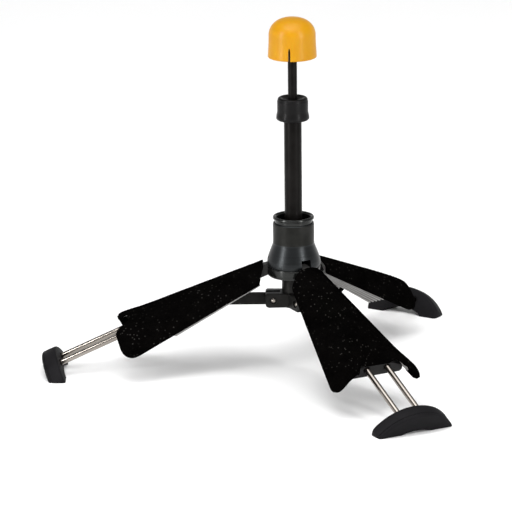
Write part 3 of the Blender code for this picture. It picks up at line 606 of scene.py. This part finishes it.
def make_cap():
    """Domed cap: flared rim, slightly flattened crown, boss for the rod and three tapered slits."""
    rise = CAP_TOP - CAP_SHOULDER_Z
    dome = []
    steps = 26
    for i in range(steps + 1):
        angle = pi / 2 * i / steps
        dome.append((CAP_SHOULDER_R * cos(angle) ** 0.86, CAP_SHOULDER_Z + rise * sin(angle) ** 0.92))
    dome[-1] = (0.0, CAP_SHOULDER_Z + rise)
    flare = CAP_RIM_R - CAP_SHOULDER_R
    wall_low = CAP_RIM_Z + 0.6
    wall = [(CAP_SHOULDER_R + flare * (1.0 - t / 8) ** 1.6, wall_low + (CAP_SHOULDER_Z - wall_low) * t / 8)
            for t in range(8)]
    boss_low = CAP_RIM_Z + 6.0
    boss_top = CAP_SHOULDER_Z + 5.3
    hole = ROD_HOLE_R
    hollow_top = CAP_SHOULDER_Z + 4.0
    inside = rounded([
        (0.0, boss_top), (hole, boss_top), (hole, boss_low, 0.3), (5.0, boss_low, 0.4),
        (5.0, hollow_top, 0.6), (9.1, hollow_top, 1.5), (10.85, CAP_SHOULDER_Z, 1.0), (11.34, CAP_RIM_Z, 0.4),
        (CAP_RIM_R - 0.25, CAP_RIM_Z, 0.3)], False)
    rim = [(CAP_RIM_R, CAP_RIM_Z + 0.28)]
    cap = lathe("tip_cap_fine", inside + rim + wall + dome, COLUMN, AMBER, 144, False, sharp=50.0)
    low = CAP_RIM_Z - 2.0
    peak = CAP_RIM_Z + 7.4
    half = 0.62
    edge = [(half, low), (half, peak - 2.4), (half * 0.7, peak - 1.0), (half * 0.25, peak - 0.1)]
    outline = [(-half, low)] + edge + [(-x, z) for x, z in edge[:0:-1]]
    for azimuth in (262.0, 22.0, 142.0):
        turn = Matrix.Rotation(radians(azimuth - 90.0), 4, "Z")
        carve(cap, [slab("cap_slit", outline, 6.0, 16.0, COLUMN, AMBER, 0.0, turn)], sharp=50.0)
    dress(cap, "tip", "yellow_plastic", "tip_cap")


def make_tip_rod():
    head_low = TUBE_TOP - 3.4
    top = CAP_SHOULDER_Z + 5.0
    head = TUBE_BORE_R - 0.3
    profile = rounded([(0.0, head_low), (head, head_low, 0.5), (head, TUBE_TOP, 0.3), (ROD_R, TUBE_TOP),
                       (ROD_R, top, 0.5), (0.0, top)], False)
    dress(lathe("tip_rod_fine", profile, COLUMN, BLACK_COATING, 64, False), "tip", "black_metal", "tip_rod")


# --- hub --------------------------------------------------------------------------------------------

def make_mouth_ring():
    """Ring in the hub's mouth: a bright bevelled collar over a groove."""
    stem = HUB_NECK_R - 0.85
    bottom = 83.6
    top = 88.9
    edge = 11.35
    profile = rounded([
        (stem, bottom), (stem, top - 1.75, 0.15), (edge - 0.1, top - 1.5, 0.3), (edge, top - 0.9, 0.3),
        (edge - 0.35, top - 0.1, 0.4), (edge - 0.9, top, 0.2), (HUB_MOUTH_R + 0.9, top, 0.2),
        (HUB_MOUTH_R, top - 0.9, 0.2), (HUB_MOUTH_R, bottom)])
    dress(lathe("mouth_ring_fine", profile, COLUMN, RING_FINISH, 128), "hub", "hub_metal", "mouth_ring")


def slotted(piece):
    """Cut the three knuckle windows and the hinge-pin seats."""
    half = 2.8
    window = rounded([(6.4, 53.0), (18.0, 53.0), (18.0, 66.6), (6.4, 66.6, 0.6)], steps=3)
    for number in LEGS:
        arm = arm_matrix(number)
        carve(piece, [slab("hub_window", window, -half, half, arm, HUB_FINISH, 0.25)])
        seat = [(0.0, -6.3), (1.5, -6.3), (1.5, 6.3), (0.0, 6.3)]
        place = arm @ shift(HINGE_R, 0.0, HINGE_Z)
        carve(piece, [lathe("hub_seat", seat, place, HUB_FINISH, 24, False, ALONG_Y)])
    for azimuth in (0.0, 120.0, 240.0):
        place = COLUMN @ Matrix.Rotation(radians(azimuth), 4, "Z") @ shift(10.8, 0.0, 55.3)
        hole = [(0.0, -1.0), (2.1, -1.0), (2.1, 2.5), (1.3, 2.5), (1.3, 11.6), (0.0, 12.0)]
        carve(piece, [lathe("hub_hole", hole, place, HUB_FINISH, 24, False)])


def make_hub():
    bore = TUBE_HOLE_R
    base = HUB_BASE_R
    neck = HUB_NECK_R
    stem = neck - 0.85
    split = HUB_SPLIT_Z
    groove = 85.3
    housing = lathe("hub_housing_fine", rounded([
        (base - 0.1, split, 0.12), (base, split + 0.5, 0.2), (base + 0.02, split + 1.6, 0.8),
        (base - 0.25, split + 3.6, 1.2), (base - 1.15, split + 6.3, 1.4), (neck + 0.12, 73.4, 1.0),
        (neck, 74.8, 0.4), (neck, groove - 0.5, 0.2), (neck - 0.35, groove, 0.15), (stem + 0.3, groove),
        (stem + 0.3, 83.3), (HUB_MOUTH_R, 83.3), (HUB_MOUTH_R, 73.5, 0.4), (bore, 71.0, 0.3), (bore, split)]),
        COLUMN, HUB_FINISH, 144)
    slotted(housing)
    housing.data.materials.append(NECK_FINISH)
    for face in housing.data.polygons:
        radius = sqrt(face.center.x ** 2 + face.center.y ** 2) / MM
        if face.center.z / MM > 74.2 and radius > neck - 0.2:
            face.material_index = 1
    dress(housing, "hub", "hub_metal", "hub_housing")
    low = 55.3
    spreader = 6.9
    ring = lathe("hub_base_ring_fine", rounded([
        (base - 1.6, low, 0.3), (base - 0.5, low + 0.4, 0.5), (base - 0.12, low + 1.6, 0.6),
        (base - 0.12, split - 1.0, 0.3), (base - 0.35, split - 0.7, 0.1), (base - 0.12, split - 0.45, 0.1),
        (base - 0.2, split - 0.3, 0.08), (bore, split - 0.3), (bore, 57.3), (spreader, 57.3),
        (spreader, low, 0.3)]), COLUMN, RING_FINISH, 144)
    slotted(ring)
    dress(ring, "hub", "hub_metal", "hub_base_ring")


# --- legs -------------------------------------------------------------------------------------------

def smoothstep(value):
    value = min(1.0, max(0.0, value))
    return value * value * (3.0 - 2.0 * value)


def section(reach):
    """Radius and half sweep of the leg's arch at a distance along the crown."""
    part = (reach - PAD_START) / (PAD_END - PAD_START)
    half_width = PAD_START_HALF_WIDTH + (PAD_END_HALF_WIDTH - PAD_START_HALF_WIDTH) * part
    depth = PAD_START_DEPTH + (PAD_END_DEPTH - PAD_START_DEPTH) * part
    radius = (half_width ** 2 + depth ** 2) / (2 * depth)
    return radius, asin(min(1.0, half_width / radius))


def end_line(across, edge_distance, crown_end):
    """Where the outer end stands: the crown stops short and the sides run on as round-cornered ears."""
    ear = smoothstep((abs(across) - EAR_ROOT) / EAR_BLEND)
    reach = crown_end + (PAD_END - crown_end) * ear
    if edge_distance < EAR_CORNER_R:
        left = EAR_CORNER_R - edge_distance
        reach -= EAR_CORNER_R - sqrt(max(0.0, EAR_CORNER_R ** 2 - left ** 2))
    return reach


def arch_drop(reach, lean):
    radius, sweep = section(reach)
    lift = RIDGE_LIFT * smoothstep((reach - VALLEY_START) / (PAD_END - VALLEY_START))
    return radius * (1.0 - cos(sweep * lean)) - lift * sin(pi * abs(lean)) ** 2


def valley_drop(reach, lean):
    """The dished valley between the ears, on top of the arch's own fall."""
    ridge = VALLEY_SPREAD * (reach - VALLEY_START)
    radius, sweep = section(reach)
    across = radius * sin(sweep * abs(lean))
    if ridge <= across:
        return 0.0
    side = arch_drop(reach, asin(ridge / radius) / sweep)
    floor = VALLEY_SLOPE * (reach - VALLEY_START)
    return max(0.0, floor + (side - floor) * (across / ridge) ** 3 - arch_drop(reach, lean))


def channel_point(lean, part, depth, insets, crown_end, lead):
    """A point of the leg's channel: lean runs -1 to 1 across, part 0 to 1 along, depth is below the skin."""
    start_radius, start_sweep = section(PAD_START)
    start = PAD_START + insets[0] + start_radius * (1.0 - cos(start_sweep * lean)) * START_LEAN
    start += START_POINT * abs(lean) * (1.0 - 0.5 * abs(lean))
    start = max(start, PAD_START + START_FLAT)
    end_radius, end_sweep = section(PAD_END)
    edge_distance = end_radius * end_sweep * (1.0 - abs(lean))
    end = end_line(end_radius * sin(end_sweep * lean), edge_distance, crown_end) - insets[1]
    reach = start + (end - start) * part
    radius, sweep = section(reach)
    drop = arch_drop(reach, lean) + valley_drop(reach + lead, lean)
    turn = sweep * lean
    return Vector((reach, (radius - depth) * sin(turn), CROWN_HEIGHT - drop - depth * cos(turn)))


def wave(place, size):
    """Smooth noise from -1 to 1, for small unevenness in the cloth."""
    return noise.noise(Vector(place) / size)


def channel_mesh(along, across, point):
    """Closed sheet over a grid: point(lean, part, side) gives the outer (0) and inner (1) skins."""
    bm = bmesh.new()
    skins = []
    for side in (0, 1):
        skins.append([[bm.verts.new(point(lean, part, side)) for lean in across] for part in along])
    rows = len(along) - 1
    columns = len(across) - 1
    for skin in skins:
        for i in range(rows):
            for j in range(columns):
                bm.faces.new((skin[i][j], skin[i][j + 1], skin[i + 1][j + 1], skin[i + 1][j]))
    outer, inner = skins
    for i in range(rows):
        for j in (0, columns):
            bm.faces.new((outer[i][j], inner[i][j], inner[i + 1][j], outer[i + 1][j]))
    for j in range(columns):
        for i in (0, rows):
            bm.faces.new((outer[i][j], outer[i][j + 1], inner[i][j + 1], inner[i][j]))
    return bm


def spaced(count, crowd):
    """Stations from 0 to 1, closer together near both ends."""
    out = []
    for i in range(count + 1):
        t = i / count
        out.append(t + crowd * sin(2 * pi * t) / (-2 * pi))
    return out


def make_cover(number):
    """Velvet skin that follows the shell and rolls round its rim on every side."""
    leg = leg_matrix(number)
    along = spaced(84, 0.82)
    across = [2.0 * t - 1.0 for t in spaced(76, 0.72)]
    seed = number * 37.0

    def point(lean, part, side):
        reach = PAD_START + (PAD_END - PAD_START) * part
        radius, sweep = section(reach)
        rim_side = radius * sweep * (1.0 - abs(lean))
        rim_ends = (1.0 - part) * (PAD_END - PAD_START)
        rim = min(rim_side, rim_ends)
        roll = 1.0 - smoothstep(rim / 2.2)
        if side == 0:
            depth = 0.75 * roll ** 2
        else:
            beside = smoothstep((radius * sweep * abs(lean) - 15.0) / 3.0)
            wrap = max(1.0 - smoothstep(rim / 4.2), beside * (1.0 - smoothstep((rim_ends - 8.0) / 2.0)))
            depth = 0.85 + 2.25 * wrap - 0.75 * roll ** 3
        spot = channel_point(lean, part, depth, (0.0, 0.0), CROWN_END, 0.0)
        ripple = 0.16 * wave((spot.x + seed, spot.y, spot.z), 9.0)
        ripple += 0.10 * wave((spot.x, spot.y - seed, spot.z), 3.4)
        if side == 0:
            spot.z -= 0.10 + abs(ripple) * 0.8
        return spot

    bm = channel_mesh(along, across, point)
    piece = finish_piece(f"velvet_cover_{number}", bm, leg, VELVET, 60.0)
    dress(piece, f"leg_{number}", "velvet", f"leg_cover_{number}")


def keel_plate(name, sign, leg):
    """Plate from the shell's lower edge down and in towards the leg's middle, grooved on both faces; the
    groove faces carry a darker material as painted shade.
    """
    facets = 8
    count = KEEL_RIBS * facets
    bm = bmesh.new()
    rows = []
    for i in range(31):
        reach = KEEL_START + (KEEL_END - KEEL_START) * i / 30
        radius, sweep = section(reach)
        half_width = radius * sin(sweep)
        edge = CROWN_HEIGHT - radius * (1.0 - cos(sweep))
        high = radius - SHELL_MIDDLE
        start = Vector((high * sin(sweep) - 0.2 * cos(sweep), edge + (high - radius) * cos(sweep)))
        end = Vector((KEEL_INNER_SHARE * half_width, edge - KEEL_DROP_SHARE * half_width))
        down = Vector((-(end - start).y, (end - start).x)).normalized()
        if down.y > 0.0:
            down = -down
        under = []
        over = []
        for k in range(count + 1):
            t = k / count
            groove = KEEL_GROOVE * smoothstep(abs((t * KEEL_RIBS) % 1.0 - 0.5) * 6.0 - 0.7)
            under.append(start.lerp(end, t) - down * groove)
            over.insert(0, start.lerp(end, t) - down * (KEEL_THICK - groove))
        rows.append([bm.verts.new((reach, sign * y, z)) for y, z in under + over])
    for low, high in zip(rows, rows[1:]):
        for i in range(len(low)):
            j = (i + 1) % len(low)
            face = bm.faces.new((low[i], low[j], high[j], high[i]))
            # Faces between the ribs get the darker second material: painted shade in the grooves.
            on_rib = i % (count + 1) % facets in (2, 3, 4, 5)
            if i != count and not on_rib:
                face.material_index = 1
    bm.faces.new(rows[0][::-1])
    bm.faces.new(rows[-1])
    plate = finish_piece(name, bm, leg, SHELL_PLASTIC, 30.0)
    plate.data.materials.append(GROOVE_SHADE_PLASTIC)
    return plate


def leg_point(x, z, fold=0.0, rise=0.0):
    """An arm-frame (x, z) seen in the leg's frame, with the leg folded and the hub risen."""
    slope = LEG_SLOPE + fold
    out = x - HINGE_R
    up = z - HINGE_Z - rise
    return out * cos(slope) - up * sin(slope), out * sin(slope) + up * cos(slope)


def slot_ends():
    """Where the strut's outer pin stands in the leg's frame, with the leg open and folded."""
    opened = leg_point(STRUT_HINGE_R + STRUT_LENGTH, STRUT_HINGE_Z)
    folded = leg_point(STRUT_HINGE_R + STRUT_LENGTH * cos(STRUT_SWING),
                       STRUT_HINGE_Z + STRUT_LENGTH * sin(STRUT_SWING), FOLD_ANGLE, HUB_TRAVEL)
    return opened, folded


def rail_outline(top):
    """Rail round the slot for the strut's outer pin."""
    wall = 3.2
    start = 18.0
    end = 64.0
    (inner, inner_z), (outer, outer_z) = slot_ends()
    return rounded([(start, top), (start, 0.0, 0.8), (inner - wall, inner_z - wall + 0.6, 1.2),
                    (inner, inner_z - wall, 1.5), (outer + wall, outer_z - wall, 1.5),
                    (end, outer_z, 1.0), (end, top)], steps=3)


def make_shell(number):
    """Moulded shell under the velvet: ribs run out along its underside and stop at a step."""
    leg = leg_matrix(number)
    ribs = (-0.78, -0.66, -0.54, 0.54, 0.66, 0.78)
    edges = (-0.034, -0.024, -0.012, 0.012, 0.024, 0.034)
    even = {round(2.0 * j / 44 - 1.0, 4) for j in range(45)}
    across = sorted(even | {round(c + e, 4) for c in ribs for e in edges})
    along = [i / 60 for i in range(61)]

    def point(lean, part, side):
        reach = PAD_START + (PAD_END - PAD_START) * part
        radius, sweep = section(reach)
        narrower = 1.0 - SHELL_RIM / (radius * sweep)
        lean *= narrower
        if side == 0:
            depth = SHELL_OUTER_DEPTH
        else:
            near = min(abs(lean - c * narrower) for c in ribs)
            rib = 1.0 - smoothstep((near - 0.014) / 0.014)
            rib *= smoothstep((part - 0.16) / 0.03) * (1.0 - smoothstep((part - 0.80) / 0.012))
            depth = SHELL_INNER_DEPTH + SHELL_RIB * rib
        return channel_point(lean, part, depth, (SHELL_START_INSET, SHELL_RIM), SHELL_CROWN_END, 0.9)

    bm = channel_mesh(along, across, point)
    shell = finish_piece(f"leg_shell_{number}_fine", bm, leg, SHELL_PLASTIC, 35.0)
    dress(shell, f"leg_{number}", "grey_plastic", f"leg_shell_{number}")
    under_crown = CROWN_HEIGHT - SHELL_MIDDLE
    arm_end = 24.0
    side = (arc((0.0, 0.0), 2.6, 90.0, 270.0, 18)
            + rounded([(0.9, -2.75), (arm_end - 4.0, -3.4, 1.2), (arm_end, -1.0, 1.0), (arm_end, under_crown),
                       (6.5, under_crown, 1.0), (3.4, 2.6, 1.2)], False))
    arm = slab(f"leg_arm_{number}", side, -2.5, 2.5, leg, ARM_PLASTIC, 0.35)
    bore = [(0.0, -6.0), (1.3, -6.0), (1.3, 6.0), (0.0, 6.0)]
    carve(arm, [lathe("arm_bore", bore, leg, ARM_PLASTIC, 24, False, ALONG_Y)])
    dress(arm, f"leg_{number}", "grey_plastic")
    outline = rail_outline(under_crown)
    for hand, sign in (("left", 1.0), ("right", -1.0)):
        dress(keel_plate(f"leg_keel_{number}_{hand}", sign, leg), f"leg_{number}", "grey_plastic")
    for hand, low in (("left", 1.6), ("right", -3.1)):
        rail = slab(f"leg_rail_{number}_{hand}", outline, low, low + 1.5, leg, SHELL_PLASTIC, 0.2)
        slot = slab("rail_slot", capsule(*slot_ends(), 2.1), low - 2.0, low + 3.5, leg, SHELL_PLASTIC)
        carve(rail, [slot])
        dress(rail, f"leg_{number}", "grey_plastic")


def guide_roof(along):
    """Height of the guide's top above the rods' axis, where it meets the underside of the cover's valley."""
    reach, axis = leg_point(ROD_PIVOT_R + along * cos(ROD_SLOPE), ROD_PIVOT_Z - along * sin(ROD_SLOPE))
    return CROWN_HEIGHT - VALLEY_SLOPE * (reach - VALLEY_START) - 1.1 - axis


def make_guide(number):
    rods = rod_matrix(number)
    bm = bmesh.new()
    ends = []
    for along in (GUIDE_INNER, GUIDE_OUTER):
        roof = guide_roof(along)
        right = [(GUIDE_HALF_WIDTH, -4.8, 1.2), (GUIDE_HALF_WIDTH, -0.7, 0.8), (12.5, 0.9, 0.8),
                 (8.6, roof, 1.4)]
        left = [(-y, z, corner) for y, z, corner in reversed(right)]
        outline = rounded(left[-1:] + right + left[:-1], steps=5)
        ends.append([bm.verts.new((along, y, z)) for y, z in outline])
    inner, outer = ends
    caps = [bm.faces.new(inner), bm.faces.new(outer[::-1])]
    for i in range(len(inner)):
        j = (i + 1) % len(inner)
        bm.faces.new((inner[j], inner[i], outer[i], outer[j]))
    rims = list(set(caps[0].edges) | set(caps[1].edges))
    soften(bm, rims, 0.45)
    guide = finish_piece(f"rod_guide_{number}_fine", bm, rods, GUIDE_PLASTIC)
    for across in (-LEG_ROD_ACROSS, LEG_ROD_ACROSS):
        bore = rounded([(0.0, -20.0), (1.7, -20.0), (1.7, GUIDE_OUTER - 0.5, 0.2), (2.2, GUIDE_OUTER + 0.1),
                        (2.2, -8.0), (0.0, -8.0)], False)
        turn = Matrix.Translation((0.0, across, 0.0)) @ ALONG_X
        carve(guide, [lathe("guide_bore", bore, rods, GUIDE_PLASTIC, 32, False, turn)])
    dress(guide, f"leg_{number}", "grey_plastic", f"rod_guide_{number}")


def make_rods(number):
    rods = rod_matrix(number)
    head = GUIDE_INNER - 0.3
    end = FOOT_INNER[number] + 5.0
    profile = rounded([(0.0, head - 2.0), (2.1, head - 2.0, 0.4), (2.1, head, 0.3), (LEG_ROD_R, head),
                       (LEG_ROD_R, end, 0.4), (0.0, end)], False)
    for hand, across in (("left", LEG_ROD_ACROSS), ("right", -LEG_ROD_ACROSS)):
        turn = Matrix.Translation((0.0, across, 0.0)) @ ALONG_X
        rod = lathe(f"rod_{hand}_{number}_fine", profile, rods, ROD_STEEL, 48, False, turn)
        dress(rod, f"extension_{number}", "rod_steel", f"rod_{hand}_{number}")


def foot_profile(inset):
    """The foot's arch across the leg as (y, height above the rods' axis), drawn in by an inset."""
    radius = FOOT_ARCH_R - inset
    half = FOOT_HALF_WIDTH - inset
    centre = FOOT_TOP - FOOT_ARCH_R
    sweep = asin(half / radius) * 180.0 / pi
    crown = arc((0.0, centre), radius, 90.0 + sweep, 90.0 - sweep, 44)
    y, z = crown[-1]
    shoulder = [(y + 0.62, z - 0.9), (y + 0.9, z - 2.0), (y + 0.9, z - 3.4), (y - 0.2, -14.0)]
    return [(-a, b) for a, b in reversed(shoulder)] + crown + shoulder


def make_foot(number):
    """Arched rubber block with rounded rims, a parting crease near its outer rim and a relieved sole."""
    rods = rod_matrix(number)
    stations = [(0.0, 1.3), (0.25, 0.6), (0.75, 0.16), (1.4, 0.0), (6.35, 0.0), (6.6, 0.16), (6.75, 0.42),
                (6.95, 0.42), (7.1, 0.16), (7.3, 0.02), (7.9, 0.10), (8.35, 0.45), (8.6, 0.9), (8.7, 1.4)]
    inner = FOOT_INNER[number]
    bm = bmesh.new()
    rings = [[bm.verts.new((inner + along, y, z)) for y, z in foot_profile(inset)]
             for along, inset in stations]
    for low, high in zip(rings, rings[1:]):
        for i in range(len(low)):
            j = (i + 1) % len(low)
            bm.faces.new((low[i], low[j], high[j], high[i]))
    bm.faces.new(rings[0][::-1])
    bm.faces.new(rings[-1])
    foot = finish_piece(f"rubber_foot_{number}_fine", bm, rods, RUBBER)
    for across in (-LEG_ROD_ACROSS, LEG_ROD_ACROSS):
        turn = Matrix.Translation((0.0, across, 0.0)) @ ALONG_X
        socket = rounded([(0.0, inner - 3.0), (2.3, inner - 3.0), (2.3, inner - 0.1), (1.72, inner + 0.5),
                          (1.72, inner + 5.2), (0.0, inner + 5.2)], False)
        carve(foot, [lathe("foot_socket", socket, rods, RUBBER, 32, False, turn)])
    level = rods @ Matrix.Rotation(-ROD_SLOPE, 4, "Y")
    drop = FLOOR_LEVEL - ROD_PIVOT_Z
    near = inner * cos(ROD_SLOPE) - 12.0
    far = near + 34.0
    ground = [(-40.0, drop - 20.0), (-40.0, drop), (40.0, drop), (40.0, drop - 20.0)]
    turn = Matrix.Rotation(pi / 2, 4, "Z")
    carve(foot, [slab("foot_ground", ground, -far, -near, level, RUBBER, 0.0, turn)])
    bm = bmesh.new()
    hoops = []
    for along, half, rise in ((near + 6.0, 13.0, 4.6), (near + 24.0, 7.6, 0.2)):
        sweep = [pi * i / 24 for i in range(25)]
        low = drop - 1.0
        hoops.append([bm.verts.new((along, -half * cos(a), low + (rise + 1.0) * sin(a))) for a in sweep])
    bm.faces.new(hoops[0])
    bm.faces.new(hoops[1][::-1])
    for i in range(25):
        j = (i + 1) % 25
        bm.faces.new((hoops[0][j], hoops[0][i], hoops[1][i], hoops[1][j]))
    carve(foot, [finish_piece("foot_relief", bm, level, RUBBER)])
    foot.data.transform(foot.matrix_world)
    foot.matrix_world = Matrix.Identity(4)
    dress(foot, f"extension_{number}", "rubber", f"rubber_foot_{number}")


def make_small_parts():
    """Pins, screws and the plug keep their CAD shape and get the steel's finish."""
    names = ["tube_plug", "column_screw"]
    for number in LEGS:
        names += [f"leg_hinge_pin_{number}", f"strut_outer_pin_{number}", f"hub_screw_{number}"]
    for name in names:
        mesh = frame["nodes"][name].data
        if mesh.materials:
            mesh.materials[0] = PIN_STEEL
        else:
            mesh.materials.append(PIN_STEEL)


# --- studio -----------------------------------------------------------------------------------------

def make_floor():
    """White gloss sheet that the stand is on."""
    look = Look("white_sheet", (0.96, 0.96, 0.96), 0.32, 0.0, Specular_IOR_Level=0.35)
    look.roughness(look.noise(14.0, 3.0), 0.28, 0.38)
    look.colour(look.mix(look.noise(5.0, 3.0), (0.955, 0.955, 0.955), (0.97, 0.97, 0.97)))
    bm = bmesh.new()
    bmesh.ops.create_grid(bm, x_segments=2, y_segments=2, size=3000.0)
    floor = finish_piece("floor_sheet", bm, shift(0.0, 0.0, -0.02), look.material)


def area_light(name, place, target, size, power, spread=180.0):
    data = bpy.data.lights.new(name, "AREA")
    data.shape = "RECTANGLE"
    data.size = size[0] * MM
    data.size_y = size[1] * MM
    data.energy = power
    data.spread = radians(spread)
    light = bpy.data.objects.new(name, data)
    bpy.context.scene.collection.objects.link(light)
    start = Vector(place) * MM
    aim = Vector(target) * MM - start
    light.matrix_world = Matrix.Translation(start) @ aim.to_track_quat("-Z", "Y").to_matrix().to_4x4()


def make_lights():
    middle = (0.0, 0.0, 80.0)
    area_light("left_strip", (-760.0, -520.0, 380.0), middle, (120.0, 800.0), 6.5)
    area_light("right_strip", (640.0, -640.0, 420.0), middle, (110.0, 800.0), 5.0)
    area_light("top_softbox", (-120.0, -250.0, 900.0), middle, (420.0, 360.0), 1.6)
    data = bpy.data.lights.new("overhead_light", "SUN")
    data.energy = 2.28
    data.angle = radians(70.0)
    light = bpy.data.objects.new("overhead_light", data)
    bpy.context.scene.collection.objects.link(light)
    light.matrix_world = Matrix.Rotation(radians(14.0), 4, "X")
    make_world()
    bpy.context.scene.view_settings.view_transform = "Standard"


def make_world():
    """Pale along the horizon, darker overhead, so that the dark metal keeps its contrast."""
    world = bpy.data.worlds.new("studio_world")
    bpy.context.scene.world = world
    world.use_nodes = True
    nodes = world.node_tree.nodes
    links = world.node_tree.links
    place = nodes.new("ShaderNodeTexCoord")
    split = nodes.new("ShaderNodeSeparateXYZ")
    ramp = nodes.new("ShaderNodeValToRGB")
    links.new(place.outputs["Generated"], split.inputs["Vector"])
    links.new(split.outputs["Z"], ramp.inputs["Fac"])
    links.new(ramp.outputs["Color"], nodes["Background"].inputs["Color"])
    stops = ramp.color_ramp.elements
    stops.new(0.5)
    for stop, at, level in zip(stops, (0.0, 0.12, 0.30), (1.0, 0.90, 0.30)):
        stop.position = at
        stop.color = (level, level, level, 1.0)


def make_camera():
    """Long lens, a little above the stand and in front of it."""
    pitch = radians(15.779)
    yaw = radians(0.033)
    roll = radians(-0.548)
    ahead = Vector((sin(yaw) * cos(pitch), cos(yaw) * cos(pitch), -sin(pitch)))
    right = Vector((cos(yaw), -sin(yaw), 0.0))
    up = right.cross(ahead)
    across = right * cos(roll) + up * sin(roll)
    above = up * cos(roll) - right * sin(roll)
    eye = Vector((-21.956, -2294.843, 714.532)) * MM + COLUMN.translation
    data = bpy.data.cameras.new("studio_camera")
    data.sensor_width = 36.0
    data.lens = 306.4
    data.clip_end = 20.0
    camera = bpy.data.objects.new("studio_camera", data)
    bpy.context.scene.collection.objects.link(camera)
    turn = Matrix((across, above, -ahead)).transposed().to_4x4()
    camera.matrix_world = Matrix.Translation(eye) @ turn
    bpy.context.scene.camera = camera


make_camera()
make_tube()
make_collar()
make_spreader()
make_tip_rod()
make_cap()
make_mouth_ring()
make_hub()
for leg_number in LEGS:
    make_strut(leg_number)
    make_cover(leg_number)
    make_shell(leg_number)
    make_guide(leg_number)
    make_rods(leg_number)
    make_foot(leg_number)
make_small_parts()
make_floor()
make_lights()
bpy.context.view_layer.update()
